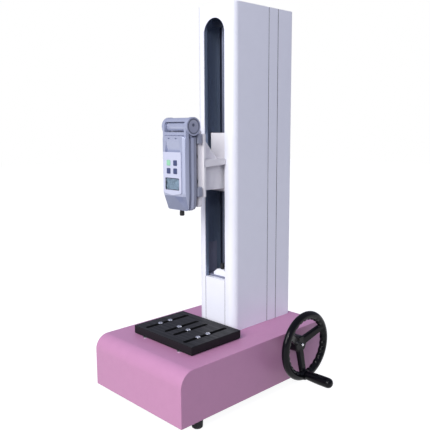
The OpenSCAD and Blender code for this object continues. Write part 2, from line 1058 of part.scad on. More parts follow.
module grip_spindle() {
    color("silver")
        on_wheel()
            translate([wheel_x - 5.5, 0, -crank_r])
                along_x()
                    cylinder(r = spindle_r, h = boss_out - wheel_x + 5.5 + grip_l - 8);
}

module crank_grip() {
    color([0.06, 0.06, 0.07])
        on_wheel()
            translate([boss_out + 0.5, 0, -crank_r])
                along_x()
                    difference() {
                        rotate_extrude()
                            grip_profile();
                        translate([0, 0, -1])
                            cylinder(r = spindle_r + run_fit, h = grip_l - 6);
                    }
}

// Half outline of the crank grip: a slight swell towards a round end
module grip_profile() {
    intersection() {
        union() {
            square([grip_r - 1.5, 2]);
            polygon([
                [0, 0], [grip_r - 1.5, 2], [grip_r - 0.6, grip_l * 0.3], [grip_r, grip_l * 0.6],
                [grip_r, grip_l - 7], [0, grip_l - 7]
            ]);
            translate([0, grip_l - 7])
                square([grip_r - 7, 7]);
            translate([grip_r - 7, grip_l - 7])
                circle(7);
        }
        square([grip_r, grip_l]);
    }
}

// The carriage body inside the frame, with its neck forward through the slot
module carriage_saddle() {
    color("ghostwhite")
        difference() {
            union() {
                translate([-saddle_half_w, block_front, saddle_z])
                    cube([2 * saddle_half_w, saddle_back - block_front, saddle_h]);
                slab_x(-neck_w / 2, neck_w / 2)
                    polygon([
                        [neck_front, neck_z + 6], [neck_front + 8, neck_z], [block_front + 1, neck_z],
                        [block_front + 1, neck_z + neck_h], [neck_front, neck_z + neck_h]
                    ]);
                translate([-20, saddle_back - 1, shelf_z])
                    cube([40, screw_y + 15 - saddle_back, shelf_t]);
            }
            both_sides(rod_x)
                translate([0, rod_y, saddle_z - 1])
                    cylinder(r = bush_r, h = saddle_h + 2);
            translate([0, screw_y, shelf_z - 1])
                cylinder(r = nut_r, h = shelf_t + 2);
            translate([0, screw_y, saddle_z - 1])
                cylinder(r = screw_d / 2 + 2, h = saddle_h + 2);
            arm_screw_places() {
                translate([0, neck_front - 1, 0])
                    along_y()
                        cylinder(r = m6_r + screw_fit, h = saddle_back - neck_front + 2);
                translate([0, saddle_back - arm_screw_sink, 0])
                    along_y()
                        cylinder(r = 5.8, h = arm_screw_sink + 1);
            }
        }
}

module linear_bushings() {
    color("silver")
        both_sides(rod_x)
            for (z = [saddle_z, saddle_z + saddle_h - bush_l])
                translate([0, rod_y, z])
                    difference() {
                        cylinder(r = bush_r, h = bush_l);
                        translate([0, 0, -1])
                            cylinder(r = rod_r + run_fit, h = bush_l + 2);
                    }
}

module lead_nut() {
    color("goldenrod")
        translate([0, screw_y, shelf_z])
            difference() {
                union() {
                    cylinder(r = nut_r, h = shelf_t);
                    translate([0, 0, shelf_t])
                        cylinder(r = nut_flange_r, h = 8);
                }
                translate([0, 0, -1])
                    cylinder(r = screw_d / 2 + run_fit, h = shelf_t + 10);
            }
}

// Side view of the web: thicker at the gauge's flange than at the column
module web_outline() {
    polygon([
        [arm_face + 1, web_z + 1.5], [col_front - 1.5, web_z + 4.5],
        [col_front - 1.5, web_z + web_t + 3], [arm_face + 1, web_z + web_t + 5]
    ]);
}

// Side view of a cheek: a gusset above the web and a full plate below it
module cheek_outline() {
    back = arm_face + arm_flange_t - 1;
    polygon([
        [back, web_z + web_t], [back, web_z + web_t + 49], [back + 4, web_z + web_t + 49],
        [col_front - 14, web_z + web_t + 4], [col_front - 14, web_z + web_t]
    ]);
    translate([back, web_z - 44])
        square([neck_front - arm_foot_t - 5 - back, 50]);
}

// Side view of the raised corner on a cheek, below the web
module corner_outline() {
    back = arm_face + arm_flange_t - 1;
    polygon([
        [back, web_z + 3], [back, web_z - 43], [back + 24, web_z - 43],
        [col_front - 13, web_z + 3]
    ]);
}

// The cast arm between the neck and the gauge's mounting plate
module bracket_arm() {
    color("ghostwhite")
        difference() {
            union() {
                slab_x(-arm_half, arm_half)
                    web_outline();
                translate([-neck_w / 2, col_front - 4, web_z + 4.5])
                    cube([neck_w, neck_front - col_front + 4, web_t - 1.5]);
                both_sides(arm_cheek) {
                    translate([-cheek_t, 0, 0])
                        slab_x(0, cheek_t)
                            cheek_outline();
                    translate([-1, 0, 0])
                        slab_x(0, 3.5)
                            corner_outline();
                }
                translate([-arm_flange_half, arm_face, mount_z + 19])
                    cube([2 * arm_flange_half, arm_flange_t, mount_h - 26]);
                translate([-neck_w / 2, neck_front - arm_foot_t, neck_z])
                    cube([neck_w, arm_foot_t, neck_h]);
                translate([-neck_w / 2, neck_front - 2 * arm_foot_t, neck_z + 2])
                    cube([neck_w, 2 * arm_foot_t, web_z - neck_z + 6]);
            }
            arm_screw_places()
                translate([0, neck_front - arm_screw_grip - 0.9, 0])
                    along_y()
                        cylinder(r = m6_r + screw_fit, h = arm_screw_grip + 2);
            plate_screw_places()
                translate([0, arm_face - 1, 0])
                    along_y()
                        cylinder(r = m5_r + screw_fit, h = arm_flange_t + 0.5);
        }
}

module arm_screw_places() {
    for (side = [-1, 1], z = [neck_z + 20, neck_z + neck_h - 20])
        translate([side * 7, 0, z])
            children();
}

module plate_screw_places() {
    for (side = [-1, 1], z = [mount_z + 49, mount_z + mount_h - 49])
        translate([side * 22, 0, z])
            children();
}

module mounting_plate() {
    color("whitesmoke")
        difference() {
            slab_y(mount_face, arm_face)
                translate([0, mount_z + mount_h / 2])
                    round_rect(mount_w, mount_h, 4);
            plate_screw_places()
                translate([0, mount_face - 1, 0])
                    along_y() {
                        cylinder(r = m5_r + screw_fit, h = mount_t + 2);
                        cylinder(r = m5_head_r + 0.4, h = plate_screw_sink + 1);
                    }
            slab_y(mount_face - 1, mount_face + pad_depth + seam)
                for (z = pad_z)
                    translate([0, z])
                        square([mount_w + 10, pad_h + 2 * seam], center = true);
        }
}

module carriage_screws() {
    color("silver") {
        arm_screw_places()
            translate([0, saddle_back - arm_screw_sink, 0])
                along_y()
                    cap_screw(m6_r, saddle_back - arm_screw_sink - neck_front + arm_screw_grip,
                              5, 6, 2.5);
        plate_screw_places()
            translate([0, mount_face + plate_screw_sink, 0])
                rotate([90, 0, 0])
                    cap_screw(m5_r, mount_t - plate_screw_sink + arm_flange_t - 1, m5_head_r,
                              m5_head_h, 2);
    }
}

// Front view of the gauge's body, below the hinge
module gauge_outline(grow, top) {
    half = gauge_w / 2 + grow;
    corner = 4;
    hull() {
        for (side = [-1, 1]) {
            translate([side * (half - corner), nose_z + corner])
                circle(corner, $fn = 32);
            translate([side * (half - corner), top - corner])
                circle(corner, $fn = 32);
            translate([side * (half - 2 - nose_corner), gauge_low - grow + nose_corner])
                circle(nose_corner, $fn = 32);
        }
    }
}

// The bore for the measuring shaft, cut through all the pieces that close around it
module probe_bore() {
    translate([0, probe_y, gauge_low - 1])
        cylinder(r = probe_d / 2 + 0.3, h = cell_low - gauge_low + 2);
}

// Pockets in the measuring block for the load cell and the battery
module block_pockets(y0, y1) {
    translate([-cell_w / 2 - 1, y0, cell_low - 1])
        cube([cell_w + 2, y1 - y0, cell_h + 2]);
    translate([-battery_w / 2 - 0.5, y0, battery_low - 0.5])
        cube([battery_w + 1, y1 - y0, battery_h + 1]);
}

module gauge_rear_shell() {
    color([0.42, 0.44, 0.50])
        difference() {
            union() {
                hull() {
                    slab_y(mid_back, shell_back - 5)
                        gauge_outline(-1, shoulder_z);
                    slab_y(shell_back - 1, shell_back)
                        gauge_outline(-5, shoulder_z);
                }
                for (z = pad_z)
                    slab_y(shell_back - 1, mount_face + pad_depth)
                        translate([0, z])
                            round_rect(gauge_w + 2, pad_h, 2);
            }
            block_pockets(mid_back - 1, cell_back + 0.5);
            probe_bore();
            hinge_relief();
        }
}

// Room for the ears as they turn about the hinge
module hinge_relief() {
    translate([-ear_w, probe_y, hinge_z])
        along_x()
            cylinder(r = hinge_r + 0.5, h = 2 * ear_w);
}

module gauge_mid_frame() {
    color([0.80, 0.81, 0.88])
        difference() {
            union() {
                slab_y(mid_front, mid_back)
                    gauge_outline(0, shoulder_z);
                translate([-barrel_half, probe_y - 3, shoulder_z - 1])
                    cube([2 * barrel_half, 5.5, hinge_z - shoulder_z]);
                translate([-barrel_half, probe_y, hinge_z])
                    along_x()
                        cylinder(r = barrel_r, h = 2 * barrel_half);
            }
            block_pockets(mid_front - 1, mid_back + 1);
            probe_bore();
            for (side = [-1, 1])
                translate([side * (barrel_half - 5), probe_y, hinge_z])
                    along_x()
                        cylinder(r = pin_r, h = 12, center = true);
        }
}

module gauge_inner_cover() {
    color([0.30, 0.31, 0.36])
        difference() {
            slab_y(inner_front, mid_front)
                gauge_outline(-3, shoulder_z - 1);
            block_pockets(cell_front - 0.5, mid_front + 1);
            probe_bore();
        }
}

module load_cell() {
    color("silver")
        difference() {
            translate([-cell_w / 2, cell_front, cell_low])
                cube([cell_w, cell_back - cell_front, cell_h]);
            for (z = [cell_h * 0.3, cell_h * 0.7])
                translate([0, cell_front - 1, cell_low + z])
                    along_y()
                        cylinder(r = 7, h = 20);
            translate([-1, cell_front - 1, cell_low + cell_h * 0.3])
                cube([2, 20, cell_h * 0.4]);
        }
}

module battery_pack() {
    color("steelblue")
        translate([-battery_w / 2, cell_front, battery_low])
            cube([battery_w, cell_back - cell_front, battery_h]);
}

module measuring_shaft() {
    color("silver")
        translate([0, probe_y, gauge_low - 0.6])
            cylinder(r = probe_d / 2, h = cell_low - gauge_low + 0.6);
}

module shaft_adapter() {
    color([0.07, 0.07, 0.08])
        translate([0, probe_y, gauge_low - 12])
            rotate_extrude()
                polygon([
                    [0, 0], [3.6, 0], [4.6, 1], [4.6, 8], [4.1, 8], [4.1, 11.4], [0, 11.4]
                ]);
}

module pivot_pins() {
    color("silver")
        for (side = [-1, 1])
            translate([side * (barrel_half - 5), probe_y, hinge_z])
                rotate([0, side * 90, 0])
                    translate([0, 0, -5.5])
                        cylinder(r = pin_r, h = 16);
}

module pivot_caps() {
    color([0.66, 0.68, 0.75])
        for (side = [-1, 1])
            translate([side * (ear_w / 2 - 2), probe_y, hinge_z])
                rotate([0, side * 90, 0])
                    difference() {
                        cylinder(r = dish_r, h = 1.7);
                        translate([0, 0, 0.5])
                            cylinder(r1 = 8.5, r2 = 13, h = 1.3);
                        translate([0, 0, -1])
                            cylinder(r = 3.4, h = 4);
                    }
}

// The hinge ears, each a disc with a strap down to the housing
module hinge_ears() {
    for (side = [-1, 1])
        mirror([side > 0 ? 0 : 1, 0, 0])
            union() {
                slab_x(ear_in, ear_w / 2)
                    translate([probe_y, hinge_z])
                        circle(hinge_r);
                slab_x(ear_in, gauge_w / 2)
                    translate([probe_y - hinge_r, shoulder_z - 20])
                        square([housing_back - probe_y + hinge_r, hinge_z - shoulder_z + 20]);
            }
}

// The two bars between the ears, above and below the barrel
module hinge_bars() {
    slab_x(-ear_in - 0.5, ear_in + 0.5)
        translate([probe_y, hinge_z]) {
            intersection() {
                difference() {
                    circle(hinge_r - 0.4);
                    circle(barrel_r + 0.7);
                }
                translate([-hinge_r, 8.5])
                    square([hinge_r - 4.5, hinge_r]);
            }
            translate([-hinge_r, -16])
                square([hinge_r + housing_back - probe_y, 5.6]);
            translate([-hinge_r + 2, shoulder_z - hinge_z - 2])
                square([hinge_r - 2 + housing_back - probe_y, 6]);
        }
}

module gauge_front_housing() {
    wall = 2.2;
    color([0.78, 0.79, 0.87])
        difference() {
            union() {
                hull() {
                    slab_y(housing_back - 3, housing_back)
                        gauge_outline(0, shoulder_z);
                    slab_y(housing_back - 4, housing_back - 3)
                        gauge_outline(-1, shoulder_z);
                    slab_y(housing_front + 3, housing_back - 4)
                        upper_outline(gauge_w / 2 - 1, shoulder_z);
                    slab_y(housing_front, housing_front + 3)
                        face_outline(2);
                }
                hinge_ears();
                hinge_bars();
            }
            slab_y(housing_front + wall, housing_back + 1)
                cavity_outline(0);
            hood_cut();
            for (side = [-1, 1])
                translate([side * ear_in, probe_y, hinge_z])
                    along_x() {
                        cylinder(r = pin_r + run_fit, h = 12, center = true);
                        translate([0, 0, side > 0 ? 6 : -8.5])
                            cylinder(r = dish_r + 0.1, h = 2.5);
                    }
            slab_y(housing_front - 1, housing_front + wall + 1) {
                translate([0, lcd_z])
                    square([lcd_w + 1, lcd_h + 1], center = true);
                for (x = [-key_x, key_x], z = [key_high_z, key_low_z])
                    translate([x, z])
                        square([key_w + 2, key_h + 2], center = true);
            }
        }
}

// Front view of the housing above its sloping nose
module upper_outline(half, top) {
    hull()
        for (side = [-1, 1], z = [face_low + 2, top - 4])
            translate([side * (half - 4), z])
                circle(4, $fn = 32);
}

// Front view of the flat face, which the faceplate covers
module face_outline(grow) {
    half = face_half + grow;
    hull() {
        for (side = [-1, 1]) {
            translate([side * (half - 5), face_low + 6 - grow])
                circle(5, $fn = 32);
            translate([side * (half - 2), face_high + 28])
                circle(2, $fn = 24);
        }
        translate([0, face_low + 12 - grow])
            circle(14, $fn = 48);
    }
}

module cavity_outline(grow) {
    translate([0, (face_low + face_high) / 2])
        square([2 * (face_half + grow) - 4, face_high - face_low + 2 * grow - 14], center = true);
}

// The hollow between hinge and faceplate: its floor rolls inwards towards the faceplate's edge
module hood_cut() {
    height = shoulder_z - 2 - face_high;
    roll = (height * height + hood_depth * hood_depth) / (2 * hood_depth);
    intersection() {
        slab_x(-hood_half, hood_half)
            difference() {
                translate([housing_front - 6, face_high])
                    square([6 + hood_depth, height]);
                translate([housing_front + roll, face_high + height])
                    circle(roll, $fn = 256);
            }
        slab_y(housing_front - 7, housing_front + hood_depth + 1)
            polygon([
                [-hood_half, face_high - 1], [hood_half, face_high - 1],
                [hood_half - 5, face_high + height + 1], [5 - hood_half, face_high + height + 1]
            ]);
    }
    for (x = [-10, 10])
        translate([x - 3, housing_front - 1, face_high + height - 2.2])
            cube([6, 3.2, 2.2]);
}

module housing_back_plate() {
    t = 1.8;
    color([0.30, 0.31, 0.36])
        slab_y(housing_back - t, housing_back)
            cavity_outline(-screw_fit);
}

module gauge_faceplate() {
    color([0.88, 0.88, 0.95])
        difference() {
            slab_y(face_front, housing_front)
                intersection() {
                    face_outline(0);
                    translate([-gauge_w / 2, gauge_low])
                        square([gauge_w, face_high - gauge_low]);
                }
            slab_y(face_front - 1, housing_front + 1) {
                translate([0, lcd_z])
                    round_rect(lcd_w, lcd_h, 2);
                for (x = [-key_x, key_x], z = [key_high_z, key_low_z])
                    translate([x, z])
                        round_rect(key_w + 0.4, key_h + 0.4, 1.5);
            }
        }
}

// The board behind the face: the display's panel in front, and a switch behind each key
module display_board() {
    switch_h = 0.2;
    board_front = housing_front + 2 + key_travel + switch_h;
    color([0.45, 0.55, 0.62]) {
        slab_y(housing_front + 0.2, board_front)
            translate([0, lcd_z])
                square([lcd_w, lcd_h], center = true);
        slab_y(board_front, board_front + 1.6)
            translate([0, (lcd_z - lcd_h / 2 + key_high_z + 8) / 2])
                square([2 * board_half, key_high_z + 8 - lcd_z + lcd_h / 2], center = true);
        for (x = [-key_x, key_x], z = [key_high_z, key_low_z])
            translate([x, board_front - switch_h, z])
                along_y()
                    cylinder(r = 2, h = switch_h + 0.2);
    }
}

module lcd_glass() {
    color([0.55, 0.65, 0.70, 0.6])
        slab_y(face_front + 0.6, housing_front)
            translate([0, lcd_z])
                round_rect(lcd_w - 0.4, lcd_h - 0.4, 1.8);
}

// One key: a cap through the faceplate on a wider foot that keeps it in
module key(x, z) {
    slab_y(face_front - 0.8, housing_front + 1)
        translate([x, z])
            round_rect(key_w, key_h, 1.3);
    slab_y(housing_front, housing_front + 2)
        translate([x, z])
            square([key_w + 1.4, key_h + 1.4], center = true);
}

module power_key() {
    color([0.45, 0.80, 0.55])
        key(-key_x, key_high_z);
}

module peak_key() {
    color([0.18, 0.20, 0.36])
        key(key_x, key_high_z);
}

module zero_key() {
    color([0.18, 0.20, 0.36])
        key(-key_x, key_low_z);
}

module unit_key() {
    color([0.18, 0.20, 0.36])
        key(key_x, key_low_z);
}

// The lower stop in the slot: a bracket on the frame's wall, a white block and a rubber bumper
module stop_bracket() {
    // The leg is thin enough for the saddle to pass beside it
    leg_t = frame_in - saddle_half_w - seam;
    color([0.45, 0.50, 0.60]) {
        translate([-frame_in, stop_front, stop_shelf_z])
            cube([leg_t, stop_d + 13, 70]);
        translate([-frame_in, stop_front, stop_shelf_z])
            cube([frame_in + stop_half, stop_d, stop_shelf_t]);
    }
}

module stop_block() {
    color("ghostwhite")
        slab_y(stop_front, stop_front + stop_d)
            polygon([
                [-stop_half, slot_z + 2], [stop_half, slot_z + 2], [stop_half, slot_z + 8],
                [9, stop_z - 6], [-9, stop_z - 6], [-stop_half, slot_z + 8]
            ]);
}

module stop_bumper() {
    color([0.08, 0.08, 0.09])
        translate([0, stop_front + 6, stop_z - 6])
            cylinder(r = 4, h = 12);
}

module frame_screws() {
    color("silver") {
        foot_screw_places()
            translate([angle_t, 0, 0])
                along_x()
                    cap_screw(m5_r, angle_t + frame_wall - 1, m5_head_r, m5_head_h, 2);
        for (side = [-1, 1], y = angle_screw_y)
            translate([side * (frame_half_w + angle_leg * 0.6), y, plate_top + angle_t])
                cap_screw(m6_r, angle_t + plate_t - 2, 5, 6, 2.5);
    }
}

base_plate();
base_cover();
rubber_feet();
base_screws();
table_support();
table_spacers();
table_screws();
table_plate();
column_frame();
column_foot_angles();
column_front_cover();
column_rear_cover();
column_top_cap();
slot_filler_panel();
cover_standoffs();
rear_cover_screws();
guide_rods();
lower_end_block();
upper_end_block();
frame_screws();
stop_bracket();
stop_block();
stop_bumper();
screw_bearings();
lead_screw();
driven_mitre_gear();
wheel_bearing_blocks();
wheel_bearings();
shaft_bush();
wheel_shaft();
drive_mitre_gear();
shaft_collar();
handwheel();
hub_screw();
grip_spindle();
crank_grip();
carriage_saddle();
linear_bushings();
lead_nut();
bracket_arm();
mounting_plate();
carriage_screws();
gauge_rear_shell();
gauge_mid_frame();
gauge_inner_cover();
load_cell();
battery_pack();
measuring_shaft();
shaft_adapter();
pivot_pins();
pivot_caps();
gauge_front_housing();
housing_back_plate();
gauge_faceplate();
display_board();
lcd_glass();
power_key();
peak_key();
zero_key();
unit_key();
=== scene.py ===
"""Looks of a force gauge stand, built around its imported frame.

Each sub-assembly is a class. Its fields are sizes in millimetres, and its methods model the
pieces and dress them. A frame node whose shape is right stays and only gets its finish.
"""
import logging
import math
from dataclasses import dataclass, replace
from enum import Enum
from typing import Callable, Optional, Sequence

import bpy
from bpy.types import Material, Mesh, Node, NodeSocket, NodeTree, Object
from mathutils import Matrix, Vector


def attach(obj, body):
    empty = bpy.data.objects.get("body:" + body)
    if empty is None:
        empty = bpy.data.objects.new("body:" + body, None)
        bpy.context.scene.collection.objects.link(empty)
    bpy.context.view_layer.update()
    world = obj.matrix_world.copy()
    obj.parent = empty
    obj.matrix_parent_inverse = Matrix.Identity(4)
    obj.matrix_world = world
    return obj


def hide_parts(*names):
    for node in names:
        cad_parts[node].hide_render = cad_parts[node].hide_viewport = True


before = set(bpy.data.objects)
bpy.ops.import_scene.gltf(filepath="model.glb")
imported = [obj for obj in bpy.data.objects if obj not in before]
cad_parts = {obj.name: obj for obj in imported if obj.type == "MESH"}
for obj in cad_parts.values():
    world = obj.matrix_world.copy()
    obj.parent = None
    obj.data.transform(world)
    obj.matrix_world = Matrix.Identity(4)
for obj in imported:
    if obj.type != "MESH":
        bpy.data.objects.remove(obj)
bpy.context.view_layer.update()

LOG = logging.getLogger("force_gauge_stand")
MM = 0.001
X_AXIS = Vector((1, 0, 0))
Z_AXIS = Vector((0, 0, 1))
EdgeTest = Callable[[Vector, Vector], bool]
PointTest = Callable[[Vector], bool]
Shaper = Callable[[Object], None]


def at(x: float, y: float, z: float) -> Vector:
    """A place given in millimetres.

    Args:
        x: towards the handwheel.
        y: towards the back.
        z: up from the ground.

    Returns:
        The place in metres.
    """
    return Vector((x * MM, y * MM, z * MM))


def near(value: float, size: float) -> bool:
    """Whether a value in metres is the same as a size in millimetres."""
    return abs(value - size * MM) < 1e-5


def runs(axis: str, least: float) -> EdgeTest:
    """A test that the edges along one axis pass.

    Args:
        axis: x, y or z.
        least: how far an edge has to run along it, in millimetres.

    Returns:
        The test.
    """
    index = "xyz".index(axis)
    return lambda a, b: abs(a[index] - b[index]) > least * MM


def fill(node: Node, values: dict[str, object]) -> Node:
    """Sets some inputs of a shader node.

    Args:
        node: the node.
        values: the inputs' names and values.

    Returns:
        The node.
    """
    for name, value in values.items():
        node.inputs[name].default_value = value
    return node


class Grain(Enum):
    """The fine structure of a surface."""

    POWDER = "powder coat"
    CAST = "painted casting"
    BRUSHED = "brushed along one axis"
    TURNED = "turned on a lathe"
    FLAKE = "metallic lacquer"
    MOULDED = "moulded plastic"
    RUBBER = "rubber"
    CLEAR = "clear window"
    DISPLAY = "liquid crystal display"


# Scale of a pattern along and across the finish's axis, where a surface is brushed or turned.
STRETCH = {Grain.BRUSHED: (0.03, 1.0), Grain.TURNED: (1.0, 0.04)}
# Size of the patches of tint and of gloss, and depth of the relief, in sizes of the grain.
TINT_PATCH = 25
GLOSS_PATCH = 6
RELIEF_DEPTH = 0.3
# The part of a noise pattern's range that tint and gloss follow.
NOISE_RANGE = (0.3, 0.7)


@dataclass(frozen=True)
class Finish:
    """A surface finish, named like the record's material slot that it belongs to."""

    slot: str
    color: tuple[float, float, float]
    roughness: float
    grain: Grain
    size: float = 1.0
    bump: float = 0.1
    mottle: float = 0.03
    metallic: float = 0.0
    coat: float = 0.0
    specular: float = 0.5
    along: str = "Z"
    variant: str = ""

    def material(self) -> Material:
        """Makes the finish's material, or finds it if it's there already.

        Returns:
            The material.
        """
        name = f"{self.slot}{self.variant}"
        found = bpy.data.materials.get("finish_" + name)
        if found is not None:
            return found
        material = bpy.data.materials.new("finish_" + name)
        material.use_nodes = True
        tree = material.node_tree
        shader = fill(tree.nodes["Principled BSDF"], {
            "Metallic": self.metallic, "Coat Weight": self.coat, "Coat Roughness": 0.12,
            "Specular IOR Level": self.specular})
        if self.grain is Grain.CLEAR:
            self._clear(shader)
            return material
        place = self._place(tree)
        self._tint(tree, shader, place)
        self._gloss(tree, shader, place)
        self._relief(tree, shader, place)
        return material

    def _place(self, tree: NodeTree) -> NodeSocket:
        """Object coordinates, scaled about the finish's axis where it is brushed or turned.

        Args:
            tree: the material's nodes.

        Returns:
            The socket with the coordinates.
        """
        source = tree.nodes.new("ShaderNodeTexCoord")
        mapping = tree.nodes.new("ShaderNodeMapping")
        along, across = STRETCH.get(self.grain, (1.0, 1.0))
        for index, axis in enumerate("XYZ"):
            scale = along if axis == self.along else across
            mapping.inputs["Scale"].default_value[index] = scale
        tree.links.new(source.outputs["Object"], mapping.inputs["Vector"])
        return mapping.outputs["Vector"]

    def _noise(self, tree: NodeTree, place: NodeSocket, size: float, detail: float) -> NodeSocket:
        """A noise pattern.

        Args:
            tree: the material's nodes.
            place: the coordinates.
            size: length of one blotch, in millimetres.
            detail: how many finer layers it has.

        Returns:
            The socket with the pattern's value.
        """
        noise = fill(tree.nodes.new("ShaderNodeTexNoise"), {
            "Scale": 1.0 / (size * MM), "Detail": detail, "Roughness": 0.55})
        tree.links.new(place, noise.inputs["Vector"])
        return noise.outputs["Fac"]

    def _tint(self, tree: NodeTree, shader: Node, place: NodeSocket) -> None:
        """Colours the surface with a slow variation, or with small flakes.

        Args:
            tree: the material's nodes.
            shader: the surface shader.
            place: the coordinates.
        """
        ramp = tree.nodes.new("ShaderNodeValToRGB")
        dark = [c * (1 - self.mottle) for c in self.color]
        pale = [min(1.0, c * (1 + self.mottle)) for c in self.color]
        for stop, color, place_on in zip(ramp.color_ramp.elements, (dark, pale), NOISE_RANGE):
            stop.color = (*color, 1)
            stop.position = place_on
        if self.grain is Grain.FLAKE:
            cells = fill(tree.nodes.new("ShaderNodeTexVoronoi"), {
                "Scale": 1.0 / (self.size * MM)})
            tree.links.new(place, cells.inputs["Vector"])
            bright = tree.nodes.new("ShaderNodeSeparateColor")
            tree.links.new(cells.outputs["Color"], bright.inputs["Color"])
            tree.links.new(bright.outputs["Red"], ramp.inputs["Fac"])
        else:
            slow = self._noise(tree, place, self.size * TINT_PATCH, 2)
            tree.links.new(slow, ramp.inputs["Fac"])
        tree.links.new(ramp.outputs["Color"], shader.inputs["Base Color"])

    def _gloss(self, tree: NodeTree, shader: Node, place: NodeSocket) -> None:
        """Varies the roughness a little, as handling and the making of the surface do.

        Args:
            tree: the material's nodes.
            shader: the surface shader.
            place: the coordinates.
        """
        spread = 0.25 if self.grain in STRETCH else 0.12
        reach = fill(tree.nodes.new("ShaderNodeMapRange"), {
            "From Min": NOISE_RANGE[0], "From Max": NOISE_RANGE[1],
            "To Min": self.roughness * (1 - spread),
            "To Max": min(1.0, self.roughness * (1 + spread))})
        patches = self._noise(tree, place, self.size * GLOSS_PATCH, 3)
        tree.links.new(patches, reach.inputs["Value"])
        tree.links.new(reach.outputs["Result"], shader.inputs["Roughness"])

    def _relief(self, tree: NodeTree, shader: Node, place: NodeSocket) -> None:
        """Gives the surface its fine relief.

        Args:
            tree: the material's nodes.
            shader: the surface shader.
            place: the coordinates.
        """
        relief = fill(tree.nodes.new("ShaderNodeBump"), {
            "Strength": self.bump, "Distance": self.size * MM * RELIEF_DEPTH})
        tree.links.new(self._noise(tree, place, self.size, 2), relief.inputs["Height"])
        tree.links.new(relief.outputs["Normal"], shader.inputs["Normal"])

    def _clear(self, shader: Node) -> None:
        """Makes the surface a clear window that shows what lies behind it."""
        fill(shader, {"Base Color": (*self.color, 1), "Roughness": self.roughness,
                      "Transmission Weight": 1.0, "IOR": 1.15})


PINK = Finish("pink_paint", (0.535, 0.24, 0.41), 0.5, Grain.POWDER, size=0.8, bump=0.08,
              mottle=0.015, specular=0.85)
WHITE = Finish("white_paint", (0.885, 0.895, 0.965), 0.38, Grain.POWDER, size=0.8, bump=0.06,
               mottle=0.008, coat=0.1)
CAST_WHITE = Finish("cast_white", (0.84, 0.82, 0.84), 0.5, Grain.CAST, size=1.6, bump=0.12,
                    mottle=0.03)
FRAME = Finish("frame_finish", (0.22, 0.28, 0.40), 0.34, Grain.BRUSHED, size=0.7, bump=0.05,
               metallic=0.3)
DARK_STEEL = Finish("dark_steel", (0.20, 0.22, 0.25), 0.5, Grain.CAST, size=1.0, mottle=0.06)
# Painted shade: a near-black for thin strips set in the column covers' joints and grooves,
# standing for the shadow in those gaps.
JOINT_SHADE = Finish("rubber", (0.07, 0.05, 0.065), 0.7, Grain.RUBBER, size=0.6, bump=0.1,
                    variant="_joint")
STOP = Finish("block_alloy", (0.26, 0.27, 0.38), 0.5, Grain.CAST, size=0.8, bump=0.05,
              variant="_stop")
BLOCK = Finish("block_alloy", (0.36, 0.40, 0.48), 0.32, Grain.BRUSHED, size=0.6, bump=0.08,
               metallic=0.85, along="X")
BRIGHT = Finish("bright_steel", (0.75, 0.76, 0.78), 0.16, Grain.TURNED, size=0.5, bump=0.03,
                metallic=1.0)
# Painted shade: the guide rods' steel gets a far darker colour than bright steel, standing for the
# shade inside the column's slot.
GUIDE_SHADED = Finish("bright_steel", (0.09, 0.10, 0.14), 0.42, Grain.TURNED, size=0.5, bump=0.0,
               mottle=0.01, metallic=1.0, variant="_rod")
BRIGHT_X = replace(BRIGHT, along="X", variant="_across")
ZINC = Finish("zinc", (0.62, 0.63, 0.65), 0.34, Grain.CAST, size=0.8, bump=0.06, metallic=0.9)
BRASS = Finish("brass", (0.72, 0.55, 0.25), 0.28, Grain.TURNED, size=0.5, bump=0.04,
               metallic=1.0)
RUBBER = Finish("rubber", (0.02, 0.02, 0.022), 0.8, Grain.RUBBER, size=0.6, bump=0.3,
                mottle=0.1)
ANODISED = Finish("black_anodised", (0.011, 0.011, 0.012), 0.44, Grain.BRUSHED, size=0.8,
                  bump=0.08, mottle=0.1, specular=0.16, along="X")
BLACK_PLASTIC = Finish("black_plastic", (0.02, 0.02, 0.02), 0.55, Grain.MOULDED, size=0.7)
BLACK_GLOSS = Finish("black_gloss", (0.003, 0.003, 0.0045), 0.16, Grain.MOULDED, size=2.0,
                     bump=0.04, mottle=0.08, specular=0.15)
SILVER = Finish("gauge_silver", (0.41, 0.44, 0.57), 0.36, Grain.FLAKE, size=0.25, bump=0.05,
                mottle=0.08, metallic=0.35, coat=0.3)
GAUGE_DARK = Finish("gauge_dark", (0.31, 0.33, 0.41), 0.45, Grain.MOULDED, size=0.5,
                    bump=0.12, mottle=0.05)
# Painted shade: a darker copy of the housing's silver for the nose, which faces down and lies in
# shade.
NOSE_SHADE = replace(SILVER, color=(0.22, 0.245, 0.36), coat=0.15, variant="_nose")
FACE = Finish("face_pale", (0.57, 0.59, 0.72), 0.4, Grain.MOULDED, size=0.5, bump=0.06,
              mottle=0.015)
# A dark grey for the cap plugs and for the display's frame; that frame is partly a dark bezel and
# partly painted shade for the window's recess.
DARK_TRIM_AND_SHADE = Finish("gauge_dark", (0.075, 0.085, 0.13), 0.4, Grain.MOULDED, size=0.5,
                    bump=0.05, variant="_line")
DISPLAY = Finish("display_grey", (0.21, 0.25, 0.30), 0.4, Grain.DISPLAY, size=0.6, bump=0.02,
                 mottle=0.05)
WINDOW = Finish("lcd_glass", (0.80, 0.88, 0.94), 0.08, Grain.CLEAR)
KEY_GREEN = Finish("key_green", (0.30, 0.62, 0.40), 0.5, Grain.RUBBER, size=0.4, bump=0.1)
KEY_NAVY = replace(KEY_GREEN, slot="key_navy", color=(0.045, 0.06, 0.15))
CAP_GREY = Finish("cap_grey", (0.15, 0.16, 0.21), 0.35, Grain.FLAKE, size=0.25, bump=0.05,
                  mottle=0.12, metallic=0.4)
DISH_GREY = replace(CAP_GREY, color=(0.33, 0.345, 0.44), mottle=0.08, variant="_dish")
CELL = Finish("cell_alloy", (0.70, 0.71, 0.72), 0.3, Grain.BRUSHED, size=0.5, metallic=0.9)
